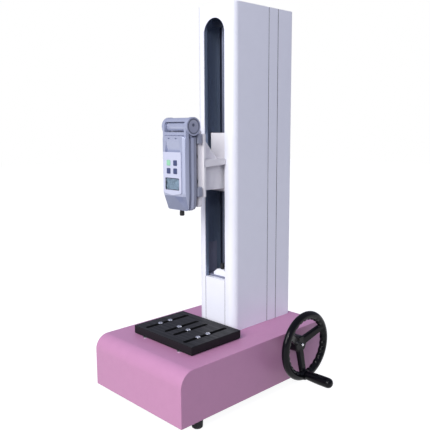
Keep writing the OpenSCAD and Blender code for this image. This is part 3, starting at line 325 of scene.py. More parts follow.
BATTERY = Finish("battery_wrap", (0.10, 0.20, 0.40), 0.4, Grain.MOULDED, size=0.6)
BLACK_STEEL = Finish("black_steel", (0.02, 0.02, 0.022), 0.35, Grain.TURNED, size=0.5,
                     metallic=0.6, mottle=0.1)


class Bench:
    """Modelling steps that all the sub-assemblies use, each made with Blender's operators."""

    @staticmethod
    def clear() -> None:
        """Leaves edit mode and deselects everything."""
        if bpy.context.mode != "OBJECT":
            bpy.ops.object.mode_set(mode="OBJECT")
        bpy.ops.object.select_all(action="DESELECT")

    @staticmethod
    def take(piece: Object) -> None:
        """Makes a piece the only one selected, and active.

        Args:
            piece: the piece.
        """
        Bench.clear()
        piece.select_set(True)
        bpy.context.view_layer.objects.active = piece

    @staticmethod
    def edit(piece: Object) -> None:
        """Opens a piece in edit mode with all of it selected.

        Args:
            piece: the piece.
        """
        Bench.take(piece)
        bpy.ops.object.mode_set(mode="EDIT")
        bpy.ops.mesh.select_all(action="SELECT")

    @staticmethod
    def done() -> None:
        """Leaves edit mode."""
        bpy.ops.object.mode_set(mode="OBJECT")

    @staticmethod
    def settle(piece: Object, name: str) -> Object:
        """Names a new piece and moves its place into its mesh.

        Args:
            piece: the new object.
            name: its name.

        Returns:
            The same object, at the origin.
        """
        piece.name = name
        piece.data.name = name
        Bench.take(piece)
        bpy.ops.object.transform_apply(location=True, rotation=True, scale=True)
        return piece

    @staticmethod
    def block(name: str, low: Vector, high: Vector) -> Object:
        """A box between two corners.

        Args:
            name: the piece's name.
            low: its lowest corner.
            high: its highest corner.

        Returns:
            The piece.
        """
        Bench.clear()
        bpy.ops.mesh.primitive_cube_add(size=1.0, location=(low + high) / 2)
        piece = bpy.context.object
        piece.scale = high - low
        return Bench.settle(piece, name)

    @staticmethod
    def rod(name: str, start: Vector, end: Vector, radius: float, sides: int = 48) -> Object:
        """A cylinder between two points.

        Args:
            name: the piece's name.
            start: centre of one end.
            end: centre of the other end.
            radius: its radius in millimetres.
            sides: number of faces around it.

        Returns:
            The piece.
        """
        Bench.clear()
        run = end - start
        bpy.ops.mesh.primitive_cylinder_add(
            vertices=sides, radius=radius * MM, depth=run.length, location=(start + end) / 2,
            rotation=run.to_track_quat("Z", "Y").to_euler())
        return Bench.settle(bpy.context.object, name)

    @staticmethod
    def turned(name: str, start: Vector, direction: Vector,
               steps: Sequence[tuple[float, float]], sides: int = 64) -> Object:
        """A turned piece: a round face, extruded and resized step by step.

        Args:
            name: the piece's name.
            start: centre of its first face.
            direction: the way it grows.
            steps: distance along it and radius there, in millimetres.
            sides: number of faces around it.

        Returns:
            The piece.
        """
        Bench.clear()
        bpy.ops.mesh.primitive_circle_add(vertices=sides, radius=steps[0][1] * MM,
                                          fill_type="NGON")
        piece = bpy.context.object
        Bench.edit(piece)
        for (z0, r0), (z1, r1) in zip(steps, steps[1:]):
            bpy.ops.mesh.extrude_region_move(
                TRANSFORM_OT_translate={"value": (0, 0, (z1 - z0) * MM)})
            share = r1 / r0
            bpy.ops.transform.resize(value=(share, share, 1),
                                     center_override=(0, 0, z1 * MM))
        bpy.ops.mesh.select_all(action="SELECT")
        bpy.ops.mesh.remove_doubles(threshold=1e-7)
        bpy.ops.mesh.normals_make_consistent(inside=False)
        Bench.done()
        piece.rotation_euler = direction.to_track_quat("Z", "Y").to_euler()
        piece.location = start
        return Bench.settle(piece, name)

    @staticmethod
    def _unpicked(piece: Object, *mode: bool) -> Mesh:
        """Takes a piece and clears the selection in its mesh.

        Args:
            piece: the piece.
            mode: whether points, edges and faces are to be picked.

        Returns:
            The piece's mesh.
        """
        Bench.take(piece)
        bpy.context.tool_settings.mesh_select_mode = mode
        mesh = piece.data
        for element in (*mesh.vertices, *mesh.edges, *mesh.polygons):
            element.select = False
        return mesh

    @staticmethod
    def pick_edges(piece: Object, test: EdgeTest) -> None:
        """Opens a piece in edit mode with the edges selected that pass a test.

        Args:
            piece: the piece.
            test: is given an edge's two ends.
        """
        mesh = Bench._unpicked(piece, False, True, False)
        for edge in mesh.edges:
            edge.select = test(*(mesh.vertices[i].co for i in edge.vertices))
        bpy.ops.object.mode_set(mode="EDIT")

    @staticmethod
    def pick_points(piece: Object, test: PointTest) -> None:
        """Opens a piece in edit mode with the points selected that pass a test.

        Args:
            piece: the piece.
            test: is given a point's place.
        """
        for point in Bench._unpicked(piece, True, False, False).vertices:
            point.select = test(point.co)
        bpy.ops.object.mode_set(mode="EDIT")

    @staticmethod
    def bevel(piece: Object, test: EdgeTest, width: float, segments: int = 3) -> None:
        """Rounds the edges that pass a test.

        Args:
            piece: the piece.
            test: is given an edge's two ends.
            width: size of the rounding in millimetres.
            segments: number of faces across it.
        """
        Bench.pick_edges(piece, test)
        bpy.ops.mesh.bevel(offset=width * MM, segments=segments, affect="EDGES",
                           clamp_overlap=True)
        Bench.done()

    @staticmethod
    def apply(piece: Object, kind: str, **settings: object) -> None:
        """Adds one modifier, sets it and applies it.

        Args:
            piece: the piece.
            kind: the modifier's type.
            settings: its values.
        """
        Bench.take(piece)
        modifier = piece.modifiers.new(kind.lower(), kind)
        for key, value in settings.items():
            setattr(modifier, key, value)
        bpy.ops.object.modifier_apply(modifier=modifier.name)

    @staticmethod
    def cut(piece: Object, *cutters: Object) -> None:
        """Cuts other shapes out of a piece and removes them.

        Args:
            piece: the piece.
            cutters: shapes that don't overlap each other.
        """
        tool = Bench.join(*cutters) if len(cutters) > 1 else cutters[0]
        Bench.apply(piece, "BOOLEAN", operation="DIFFERENCE", solver="EXACT", object=tool)
        bpy.data.objects.remove(tool, do_unlink=True)

    @staticmethod
    def join(first: Object, *others: Object) -> Object:
        """Makes several pieces one object.

        Args:
            first: the piece that stays.
            others: the pieces that go into it.

        Returns:
            The first piece.
        """
        Bench.clear()
        for other in (first, *others):
            other.select_set(True)
        bpy.context.view_layer.objects.active = first
        bpy.ops.object.join()
        return first

    @staticmethod
    def copy(piece: Object, name: str, move: Matrix) -> Object:
        """A copy with its own mesh, moved.

        Args:
            piece: the piece to copy.
            name: the copy's name.
            move: how the copy is moved.

        Returns:
            The copy.
        """
        other = bpy.data.objects.new(name, piece.data.copy())
        other.data.name = name
        bpy.context.scene.collection.objects.link(other)
        other.data.transform(move)
        return other

    @staticmethod
    def soften(piece: Object, width: float, segments: int = 2, angle: float = 30.0) -> None:
        """Rounds all sharp edges a little and smooths the shading.

        Args:
            piece: the piece.
            width: size of the rounding in millimetres.
            segments: number of faces across it.
            angle: edges sharper than this are rounded, in degrees.
        """
        Bench.apply(piece, "BEVEL", width=width * MM, segments=segments,
                    limit_method="ANGLE", angle_limit=math.radians(angle),
                    use_clamp_overlap=True, miter_outer="MITER_ARC")
        Bench.smooth(piece)

    @staticmethod
    def smooth(piece: Object, angle: float = 32.0) -> None:
        """Shades a piece smooth across blunt edges, and keeps its large faces even.

        Args:
            piece: the piece.
            angle: edges blunter than this are smooth, in degrees.
        """
        Bench.take(piece)
        bpy.ops.object.shade_smooth_by_angle(angle=math.radians(angle))
        Bench.apply(piece, "WEIGHTED_NORMAL", keep_sharp=True, weight=80)

    @staticmethod
    def traced(node: str, name: str, width: float, segments: int = 2,
               shape: Optional[Shaper] = None) -> Object:
        """A copy of a frame node with its triangles merged and its edges softened.

        Args:
            node: the frame node.
            name: the new piece's name.
            width: size of the rounding in millimetres.
            segments: number of faces across it.
            shape: reshapes the copy before its edges are rounded.

        Returns:
            The piece.
        """
        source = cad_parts[node]
        piece = bpy.data.objects.new(name, source.data.copy())
        piece.data.name = name
        piece.data.materials.clear()
        bpy.context.scene.collection.objects.link(piece)
        Bench.edit(piece)
        bpy.ops.mesh.remove_doubles(threshold=2e-6)
        bpy.ops.mesh.dissolve_limited(angle_limit=math.radians(1.0))
        Bench.done()
        if piece.data.has_custom_normals:
            bpy.ops.mesh.customdata_custom_splitnormals_clear()
        if shape is not None:
            shape(piece)
        Bench.soften(piece, width, segments)
        return piece

    @staticmethod
    def shift(piece: Object, test: PointTest, move: Vector) -> None:
        """Moves the points of a piece that pass a test.

        Args:
            piece: the piece.
            test: is given a point's place.
            move: how far they move.
        """
        Bench.pick_points(piece, test)
        bpy.ops.transform.translate(value=move)
        Bench.done()


class SubAssembly:
    """A group of pieces that belong together on the object."""

    def keep(self, finish: Finish, *nodes: str) -> None:
        """Gives frame nodes that keep their shape their finish.

        Args:
            finish: the finish.
            nodes: names of the frame nodes.
        """
        for node in nodes:
            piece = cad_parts[node]
            for place in piece.material_slots:
                place.material = finish.material()
            LOG.info("%s keeps its shape, finish %s", node, finish.slot)

    def place(self, piece: Object, body: str, finish: Finish, *nodes: str) -> Object:
        """Dresses a new piece and hangs it on its body.

        Args:
            piece: the new piece.
            body: the body that it moves with.
            finish: its finish.
            nodes: the frame nodes that it stands for.

        Returns:
            The piece.
        """
        piece.data.materials.clear()
        piece.data.materials.append(finish.material())
        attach(piece, body)
        if nodes:
            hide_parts(*nodes)
        LOG.info("%s on %s: %d faces", piece.name, body, len(piece.data.polygons))
        return piece

    def trace(self, node: str, body: str, finish: Finish, width: float = 0.5, segments: int = 2,
              shape: Optional[Shaper] = None) -> Object:
        """Replaces a frame node by its softened copy.

        Args:
            node: the frame node.
            body: the body that it moves with.
            finish: its finish.
            width: size of the edge rounding in millimetres.
            segments: number of faces across it.
            shape: reshapes the copy before its edges are rounded.

        Returns:
            The piece.
        """
        piece = Bench.traced(node, node + "_soft", width, segments, shape)
        return self.place(piece, body, finish, node)


@dataclass
class BaseUnit(SubAssembly):
    """The sheet metal base with its plate, feet and screws."""

    width: float = 260.0
    depth: float = 400.0
    low: float = 20.0
    high: float = 120.5
    corner: float = 28.0
    rear_corner: float = 4.0
    sheet: float = 2.0
    hole_half: float = 48.3
    hole_y: tuple[float, float] = (9.6, 122.8)
    hole_z: tuple[float, float] = (110.0, 130.0)

    def build(self) -> None:
        """Models and dresses the base."""
        self.cover()
        self.keep(DARK_STEEL, "base_plate", "table_support", "column_foot_angles")
        self.keep(ZINC, "base_screws", "frame_screws")
        self.trace("rubber_feet", "root", RUBBER, 0.6)

    def _hood(self, name: str, inset: float, low: float) -> Object:
        """The cover's outer or inner form.

        Args:
            name: the piece's name.
            inset: how far it lies inside the outer form.
            low: its lower end.

        Returns:
            The form, round at its front and rear top edges.
        """
        x, y = self.width / 2 - inset, self.depth / 2 - inset
        top = self.high - inset
        form = Bench.block(name, at(-x, -y, low), at(x, y, top))
        across = runs("x", 10)
        for side, radius, steps in ((-1, self.corner, 14), (1, self.rear_corner, 4)):
            Bench.bevel(form, lambda a, b, side=side: min(a.z, b.z) > (top - 0.1) * MM
                        and min(side * a.y, side * b.y) > 0 and across(a, b),
                        radius - inset, steps)
        return form

    def cover(self) -> None:
        """The folded cover, open below, with its hole for the column's frame."""
        cover = self._hood("base_cover_sheet", 0, self.low)
        inside = self._hood("base_inside", self.sheet, self.low - 1)
        Bench.cut(cover, inside)
        (front, back), (below, above) = self.hole_y, self.hole_z
        hole = Bench.block("frame_hole", at(-self.hole_half, front, below),
                           at(self.hole_half, back, above))
        Bench.cut(cover, hole)
        Bench.soften(cover, 0.9, 3)
        self.place(cover, "root", PINK, "base_cover")


@dataclass
class TableUnit(SubAssembly):
    """The slotted table with its screws and spacers."""

    width: float = 172.0
    depth: float = 129.0
    middle: float = -71.5
    low: float = 122.0
    high: float = 138.0
    slot: float = 8.8
    outer_x: float = 56.5
    inner_x: float = 13.3
    outer_ends: tuple[float, float] = (-57.5, 54.0)
    inner_ends: tuple[float, float] = (-45.0, 43.0)
    outer_screws: tuple[float, float] = (-21.5, 4.0)
    inner_screw: float = -8.5
    shank: float = 3.0
    shank_length: float = 22.0
    head: float = 4.9
    head_height: float = 2.8
    socket: float = 1.7

    def build(self) -> None:
        """Models and dresses the table."""
        self.plate()
        self.screws()
        self.keep(ZINC, "table_spacers")

    def _slot(self, x: float, ends: tuple[float, float]) -> Object:
        """A long hole's cutter: a round rod, half of it pulled out to the slot's length.

        Args:
            x: the slot's middle line.
            ends: its two ends, from the table's middle.

        Returns:
            The cutter.
        """
        half = self.slot / 2
        first = self.middle + ends[0] + half
        rod = Bench.rod("slot", at(x, first, self.low - 2), at(x, first, self.high + 2), half, 32)
        Bench.shift(rod, lambda p: p.y > first * MM + 1e-6,
                    at(0, ends[1] - ends[0] - 2 * half, 0))
        return rod

    def plate(self) -> None:
        """The black plate with its four slots and chamfered edges."""
        x, y = self.width / 2, self.depth / 2
        plate = Bench.block("table_slotted_plate", at(-x, self.middle - y, self.low),
                            at(x, self.middle + y, self.high))
        slots = [self._slot(side * self.outer_x, self.outer_ends) for side in (-1, 1)]
        slots += [self._slot(side * self.inner_x, self.inner_ends) for side in (-1, 1)]
        Bench.cut(plate, *slots)
        Bench.soften(plate, 0.7, 2)
        self.place(plate, "table", ANODISED, "table_plate")

    def screws(self) -> None:
        """Six cap screws with their sockets."""
        places = [(s * self.outer_x, self.middle + y) for s in (-1, 1) for y in self.outer_screws]
        places += [(s * self.inner_x, self.middle + self.inner_screw) for s in (-1, 1)]
        screws = [cap_screw("table_screw", at(x, y, self.high), Z_AXIS, self.shank,
                            self.shank_length, self.head, self.head_height, self.socket)
                  for x, y in places]
        heads = Bench.join(*screws)
        heads.name = "table_cap_screws"
        self.place(heads, "root", BRIGHT, "table_screws")


def cap_screw(name: str, seat: Vector, up: Vector, shank: float, length: float, head: float,
              height: float, socket: float) -> Object:
    """A screw with a low round head and a hexagonal socket.

    Args:
        name: the piece's name.
        seat: centre of the face that its head rests on.
        up: the way its head points.
        shank: the shank's radius in millimetres.
        length: the shank's length.
        head: the head's radius.
        height: the head's height.
        socket: radius over the socket's corners.

    Returns:
        The screw.
    """
    cap = Bench.turned(name, seat, up, [
        (0, head), (height * 0.3, head), (height * 0.65, head * 0.86), (height * 0.9, head * 0.62),
        (height, head * 0.46)], 36)
    hole = Bench.rod("socket", seat + up * (height * 0.5 * MM), seat + up * ((height + 1) * MM),
                     socket, 6)
    Bench.cut(cap, hole)
    body = Bench.rod("shank", seat - up * (length * MM), seat + up * (0.2 * MM), shank, 24)
    screw = Bench.join(cap, body)
    Bench.smooth(screw)
    return screw


@dataclass
class ColumnUnit(SubAssembly):
    """The column: frame, covers, rods, end blocks and the lower stop."""

    half: float = 51.5
    front: float = 7.5
    seam: float = 111.0
    seam_half: float = 0.75
    groove: float = 139.0
    groove_half: float = 0.85
    slot: float = 28.5
    low: float = 120.5
    high: float = 766.0
    filler_top: float = 223.5

    def build(self) -> None:
        """Models and dresses the column."""
        self.trace("column_front_cover", "root", WHITE, 0.2)
        self.trace("column_rear_cover", "root", WHITE, 0.15)
        self.trace("column_top_cap", "root", WHITE, 0.5)
        self.trace("slot_filler_panel", "root", WHITE, 0.2)
        self.keep(FRAME, "column_frame")
        self.keep(ZINC, "cover_standoffs", "rear_cover_screws")
        self.joints()
        self.keep(GUIDE_SHADED, "guide_rods")
        self.keep(BRIGHT, "screw_bearings", "lead_screw")
        self.keep(BLOCK, "lower_end_block", "upper_end_block")
        self.trace("stop_bracket", "root", STOP, 0.2)
        self.trace("stop_block", "root", WHITE, 0.8)
        self.trace("stop_bumper", "root", RUBBER, 0.8)

    def _shade_strip(self, name: str, side: int, x: tuple[float, float], y: tuple[float, float],
               top: float) -> Object:
        """A thin dark strip in a joint, with rounded long edges: painted shade for the gap's
        shadow.

        Args:
            name: the strip's name.
            side: -1 for the left strip and 1 for the right one.
            x: its inner and outer distance from the middle.
            y: its front and its back.
            top: its upper end.

        Returns:
            The strip.
        """
        left, right = sorted(side * value for value in x)
        strip = Bench.block(name, at(left, y[0], self.low + 0.5), at(right, y[1], top))
        Bench.bevel(strip, runs("z", 10), 0.25, 2)
        Bench.smooth(strip)
        return strip

    def joints(self) -> None:
        """Dark strips in the covers' side joints and grooves, and beside the filler panel: painted
        shade that stands for the shadow in these narrow gaps.
        """
        outer = (self.half - 1.2, self.half + 0.1)
        edge = (self.slot - 0.8, self.slot + 0.3)
        depth = (self.front - 0.1, self.front + 1.5)
        strips = []
        for side in (-1, 1):
            for y, half in ((self.seam, self.seam_half), (self.groove, self.groove_half)):
                strips.append(self._shade_strip("side_joint_shade_strip", side, outer, (y - half, y + half),
                                          self.high - 0.5))
            strips.append(self._shade_strip("filler_joint_shade_strip", side, edge, depth, self.filler_top))
        strip = Bench.join(*strips)
        strip.name = "cover_joint_shade_strips"
        self.place(strip, "root", JOINT_SHADE)


@dataclass
class DriveUnit(SubAssembly):
    """The drive inside the base: gears, shaft and bearings."""

    def build(self) -> None:
        """Dresses the drive."""
        self.keep(BRASS, "driven_mitre_gear", "drive_mitre_gear")
        self.keep(DARK_STEEL, "wheel_bearing_blocks", "shaft_collar")
        self.keep(BRIGHT_X, "wheel_bearings", "wheel_shaft", "grip_spindle")
        self.trace("shaft_bush", "root", BLACK_PLASTIC, 0.4)


@dataclass
class HandwheelUnit(SubAssembly):
    """The handwheel with its waves, spokes, hub screw and turning grip."""

    middle: tuple[float, float, float] = (165.5, 96.5, 100.0)
    rim_middle: float = 61.0
    rim: float = 9.0
    rim_depth: float = 7.5
    rim_inside: float = 58.5
    waves: int = 27
    wave_steps: int = 6
    wave: tuple[tuple[int, float], ...] = ((0, 1.036), (1, 1.026), (5, 1.026), (2, 1.008),
                                           (4, 1.008))
    turn: float = 4.0
    hub: float = 17.0
    hub_in: float = 133.0
    hub_out: float = 156.0
    spoke: float = 9.0
    spoke_end: float = 7.0
    spoke_x: tuple[float, float] = (145.4, 155.0)
    spoke_rise: float = 14.8
    spoke_round: float = 2.8
    voxel: float = 0.9
    crank: float = 58.5
    boss_in: float = 159.6
    boss_out: float = 173.0
    grip_length: float = 60.0
    grip: float = 10.0

    def build(self) -> None:
        """Models and dresses the handwheel."""
        self.wheel()
        self.screw()
        self.handle()

    def _place(self, x: float, angle: float, radius: float) -> Vector:
        """A place on the wheel.

        Args:
            x: distance along the axis from the object's middle.
            angle: degrees from the crank's spoke.
            radius: distance from the axis.

        Returns:
            The place.
        """
        a = math.radians(angle - self.turn)
        return at(x, self.middle[1] + radius * math.sin(a), self.middle[2] - radius * math.cos(a))

    def _rim(self) -> Object:
        """The rim: a ring whose inner side is pressed outwards wave by wave.

        Returns:
            The rim.
        """
        Bench.clear()
        bpy.ops.mesh.primitive_torus_add(
            major_segments=self.waves * self.wave_steps, minor_segments=24,
            major_radius=self.rim_middle * MM, minor_radius=self.rim * MM,
            location=at(*self.middle), rotation=(0, math.pi / 2, 0))
        rim = Bench.settle(bpy.context.object, "rim")
        centre = at(*self.middle)
        pitch = 2 * math.pi / self.waves
        for phase, share in self.wave:
            def in_wave(p: Vector, phase: int = phase) -> bool:
                """Whether a point lies on the rim's inner side, at one phase of a wave.

                Args:
                    p: the point.
                    phase: the phase, in steps.

                Returns:
                    Whether it does.
                """
                away = p - centre
                radius = math.hypot(away.y, away.z)
                step = (math.atan2(away.y, away.z) % pitch) / pitch * self.wave_steps
                return radius < self.rim_inside * MM and round(step) % self.wave_steps == phase
            Bench.pick_points(rim, in_wave)
            bpy.ops.transform.resize(value=(1, share, share), center_override=centre)
            Bench.done()
        Bench.edit(rim)
        bpy.ops.transform.resize(value=(self.rim_depth / self.rim, 1, 1),
                                 center_override=centre)
        Bench.done()
        return rim

    def _spoke(self) -> Object:
        """One spoke: a bar below the hub, drawn outwards and narrower towards the rim.

        Returns:
            The spoke that carries the crank.
        """
        _, y, z = self.middle
        root, tip = z - 6, z - self.rim_middle - 1
        spoke = Bench.block("spoke", at(self.spoke_x[0], y - self.spoke, tip),
                            at(self.spoke_x[1], y + self.spoke, root))
        Bench.pick_points(spoke, lambda p: p.z < (tip + 1) * MM)
        bpy.ops.transform.translate(value=at(self.spoke_rise, 0, 0))
        bpy.ops.transform.resize(value=(1, self.spoke_end / self.spoke, 1),
                                 center_override=at(*self.middle))
        Bench.done()
        Bench.bevel(spoke, runs("z", 10), self.spoke_round, 3)
        return spoke

    def _turned_round(self, piece: Object, angle: float) -> Object:
        """A copy of a piece, turned about the wheel's axis.

        Args:
            piece: the piece below the hub.
            angle: degrees from the crank's spoke.

        Returns:
            The copy.
        """
        centre = Matrix.Translation(at(*self.middle))
        turn = Matrix.Rotation(math.radians(angle - self.turn), 4, "X")
        return Bench.copy(piece, piece.name + "_copy", centre @ turn @ centre.inverted())

    def wheel(self) -> None:
        """Rim, spokes, hub and boss, run together into one moulding with soft fillets."""
        spoke = self._spoke()
        parts = [self._turned_round(spoke, a) for a in (0, 120, 240)]
        bpy.data.objects.remove(spoke, do_unlink=True)
        parts.append(Bench.turned("hub", self._place(self.hub_in, 0, 0), X_AXIS, [
            (0, 16), (1, self.hub), (21.6, self.hub), (22.8, 15.8), (23, 15)]))
        parts.append(Bench.turned("boss", self._place(self.boss_in, 0, self.crank), X_AXIS, [
            (0, 9), (1, 10.8), (12.4, 10.8), (13.4, 10)]))
        wheel = Bench.join(self._rim(), *parts)
        wheel.name = "handwheel_moulding"
        Bench.apply(wheel, "REMESH", mode="VOXEL", voxel_size=self.voxel * MM)
        Bench.apply(wheel, "SMOOTH", factor=0.5, iterations=6)
        Bench.take(wheel)
        bpy.ops.object.shade_smooth()
        self.place(wheel, "wheel", BLACK_GLOSS, "handwheel")

    def screw(self) -> None:
        """The button head screw that holds the wheel on its shaft."""
        seat = self._place(self.hub_out, 0, 0)
        head = Bench.turned("hub_button_screw", seat, X_AXIS, [
            (-2.5, 2.6), (0, 3.0), (0.8, 3.0), (1.6, 2.6), (2.2, 1.9), (2.5, 1.3)], 48)
        hole = Bench.rod("socket", seat + at(1.6, 0, 0), seat + at(4, 0, 0), 0.9, 6)
        Bench.cut(head, hole)
        Bench.smooth(head)
        self.place(head, "wheel", BRIGHT_X, "hub_screw")

    def handle(self) -> None:
        """The turning grip, a slim barrel with a round end."""
        start = self._place(self.boss_out + 0.5, 0, self.crank)
        length, r = self.grip_length, self.grip
        steps = [(0, r - 2.2), (0.6, r - 1.6), (1.5, r - 1.4), (8, r - 1.0), (18, r - 0.5),
                 (32, r), (length - 9, r), (length - 5, r - 0.9), (length - 2.5, r - 2.6),
                 (length - 0.8, r - 5.0), (length, r - 7.8)]
        grip = Bench.turned("crank_barrel_grip", start, X_AXIS, steps, 64)
        Bench.smooth(grip, 40)
        self.place(grip, "grip", BLACK_GLOSS, "crank_grip")


@dataclass
class CarriageUnit(SubAssembly):
    """The carriage that slides on the rods, with its arm and mounting plate."""

    top: float = 520.0
    saddle_top: float = 525.0
    neck_top: float = 512.0
    flange: float = 31.0
    wide_flange: float = 34.5
    foot: float = 20.0
    plate_edge: float = 28.9
    plate_cut: float = 5.0

    def build(self) -> None:
        """Models and dresses the carriage."""
        self.trace("carriage_saddle", "carriage", CAST_WHITE, 1.2, shape=self._saddle)
        self.trace("bracket_arm", "carriage", CAST_WHITE, 0.5, shape=self._arm)
        self.trace("mounting_plate", "carriage", CAST_WHITE, 0.8, 3, shape=self._plate)
        self.trace("linear_bushings", "carriage", BRIGHT, 0.4, shape=self._level)
        self.keep(ZINC, "carriage_screws")
        self.keep(BRASS, "lead_nut")

    def _level(self, piece: Object) -> None:
        """Ends the saddle's and the upper bushings' tops at one height."""
        Bench.shift(piece, lambda p: p.z > (self.saddle_top - 1) * MM,
                    at(0, 0, self.top - self.saddle_top))

    def _saddle(self, piece: Object) -> None:
        """Brings the saddle's top and its neck's top to one height."""
        self._level(piece)
        Bench.shift(piece, lambda p: near(p.z, self.neck_top), at(0, 0, self.top - self.neck_top))

    def _arm(self, piece: Object) -> None:
        """Draws the arm's foot up to the saddle's top, and its flange wider.

        Args:
            piece: the arm.
        """
        Bench.shift(piece, lambda p: near(p.z, self.neck_top) and p.y > self.foot * MM,
                    at(0, 0, self.top - self.neck_top))
        for side in (-1, 1):
            Bench.shift(piece, lambda p, side=side: near(p.x, side * self.flange),
                        at(side * (self.wide_flange - self.flange), 0, 0))

    def _plate(self, piece: Object) -> None:
        """Makes the mounting plate a little narrower than the gauge.

        Args:
            piece: the plate.
        """
        for side in (-1, 1):
            Bench.shift(piece, lambda p, side=side: side * p.x > self.plate_edge * MM,
                        at(-side * self.plate_cut, 0, 0))


@dataclass
class GaugeUnit(SubAssembly):
    """The force gauge: rear block on the carriage and the housing that swings before it."""

    housing_back: float = -89.3
    nose: float = 388.0
    nose_move: tuple[float, float, float] = (0.0, 2.6, 2.0)
    nose_top: float = 404.0
    nose_depth: float = -96.4
    nose_slope: tuple[float, float, float] = (0.0, 25.0, 7.5)
    nose_proud: float = 0.15
    face: float = -103.0
    window: tuple[float, float] = (20.0, 11.5)
    window_z: float = 426.55
    line_out: float = 0.4
    line_in: float = 1.3
    cap: tuple[float, float, float] = (34.5, -79.5, 533.0)
    plug_rise: float = 2.4

    def build(self) -> None:
        """Models and dresses the gauge."""
        self.trace("gauge_rear_shell", "carriage", GAUGE_DARK, 1.0)
        self.trace("gauge_mid_frame", "carriage", SILVER, 0.8)
        self.trace("gauge_inner_cover", "carriage", GAUGE_DARK, 0.5)
        self.keep(CELL, "load_cell")
        self.keep(BATTERY, "battery_pack")
        self.keep(BRIGHT, "measuring_shaft")
        self.keep(BRIGHT_X, "pivot_pins")
        self.trace("shaft_adapter", "carriage", BLACK_STEEL, 0.3)
        self.trace("pivot_caps", "housing", CAP_GREY, 0.3)
        self.trace("gauge_front_housing", "housing", SILVER, 1.0, shape=self._nose)
        self.keep(GAUGE_DARK, "housing_back_plate")
        self.trace("gauge_faceplate", "housing", FACE, 0.3)
        self.keep(DISPLAY, "display_board")
        self.keep(WINDOW, "lcd_glass")
        self.trace("power_key", "power_button", KEY_GREEN, 0.35)
        for key in ("peak", "zero", "unit"):
            self.trace(key + "_key", key + "_button", KEY_NAVY, 0.35)
        self.nose_shade_sheet()
        self.display_bezel_and_shade()
        self.cap_dishes()

    def _nose(self, piece: Object) -> None:
        """Slopes the housing's nose further back."""
        rear = self.housing_back - 2.5
        Bench.shift(piece, lambda p: p.z < self.nose * MM and p.y < rear * MM,
                    at(*self.nose_move))

    def nose_shade_sheet(self) -> None:
        """A thin sheet over the nose in a darker silver: painted shade for the down-facing nose.
        It is the housing's own front, cut off and set proud.
        """
        cover = Bench.traced("gauge_front_housing", "nose_shade_sheet", 1.0, shape=self._nose)
        rear = Vector(self.nose_slope).normalized()
        for place, away in ((at(0, 0, self.nose_top), Z_AXIS),
                            (at(0, self.nose_depth, self.nose_top), rear)):
            Bench.edit(cover)
            bpy.ops.mesh.bisect(plane_co=place, plane_no=away, use_fill=True, clear_outer=True)
            Bench.done()
        Bench.shift(cover, lambda p: True, -self.nose_proud * MM * rear)
        Bench.smooth(cover)
        self.place(cover, "housing", NOSE_SHADE)

    def display_bezel_and_shade(self) -> None:
        """A narrow dark frame with round corners, between faceplate and window: partly a dark
        bezel, partly painted shade for the window's recess.
        """
        x, z = self.window
        y, middle = self.face, self.window_z
        more, less = self.line_out, self.line_in
        line = Bench.block("display_bezel_and_shade", at(-x - more, y + 0.1, middle - z - more),
                           at(x + more, y + 0.8, middle + z + more))
        Bench.bevel(line, runs("y", 0.4), 1.6, 4)
        hole = Bench.block("hole", at(less - x, y - 1, middle - z + less),
                           at(x - less, y + 2, middle + z - less))
        Bench.bevel(hole, runs("y", 0.4), 2.2, 5)
        Bench.cut(line, hole)
        Bench.smooth(line)
        self.place(line, "housing", DARK_TRIM_AND_SHADE)

    def cap_dishes(self) -> None:
        """A pale dish in each hinge cap, with a dark plug high in it."""
        x, y, z = self.cap
        for side, end in ((-1, "left"), (1, "right")):
            out = Vector((side, 0, 0))
            dish = Bench.turned("cap_dish_" + end, at(side * x, y, z), out, [
                (-0.3, 8.2), (0.0, 8.6), (0.95, 11.8), (0.95, 11.3), (0.2, 8.0)], 48)
            Bench.smooth(dish)
            self.place(dish, "housing", DISH_GREY)
            seat = at(side * x, y, z + self.plug_rise)
            plug = Bench.turned("cap_plug_" + end, seat, out, [
                (-0.3, 3.0), (0.3, 3.0), (0.42, 2.7)], 32)
            Bench.smooth(plug)
            self.place(plug, "housing", DARK_TRIM_AND_SHADE)


@dataclass(frozen=True)
class Lamp:
    """A soft rectangular lamp, with place and size in metres and power in watts."""

    name: str
    place: tuple[float, float, float]
    size: tuple[float, float]
    power: float
    tint: tuple[float, float, float]

    def build(self, aim: Vector) -> None:
        """Adds the lamp to the scene.

        Args:
            aim: the point that it faces.
        """
        data = bpy.data.lights.new(self.name, "AREA")
        data.shape = "RECTANGLE"
        data.size, data.size_y = self.size
        data.energy = self.power
        data.color = self.tint
        lamp = bpy.data.objects.new(self.name, data)
        bpy.context.scene.collection.objects.link(lamp)
        place = Vector(self.place)
        lamp.location = place
        lamp.rotation_euler = (aim - place).to_track_quat("-Z", "Y").to_euler()


FRONT_LAMP = Lamp("front_lamp", (0.6, -3.0, 2.0), (2.4, 2.2), 119, (1.0, 0.99, 0.98))
CATCH_LAMP = Lamp("catch_lamp", (2.0, -2.0, 1.7), (0.13, 0.3), 8.5, (1.0, 1.0, 1.0))


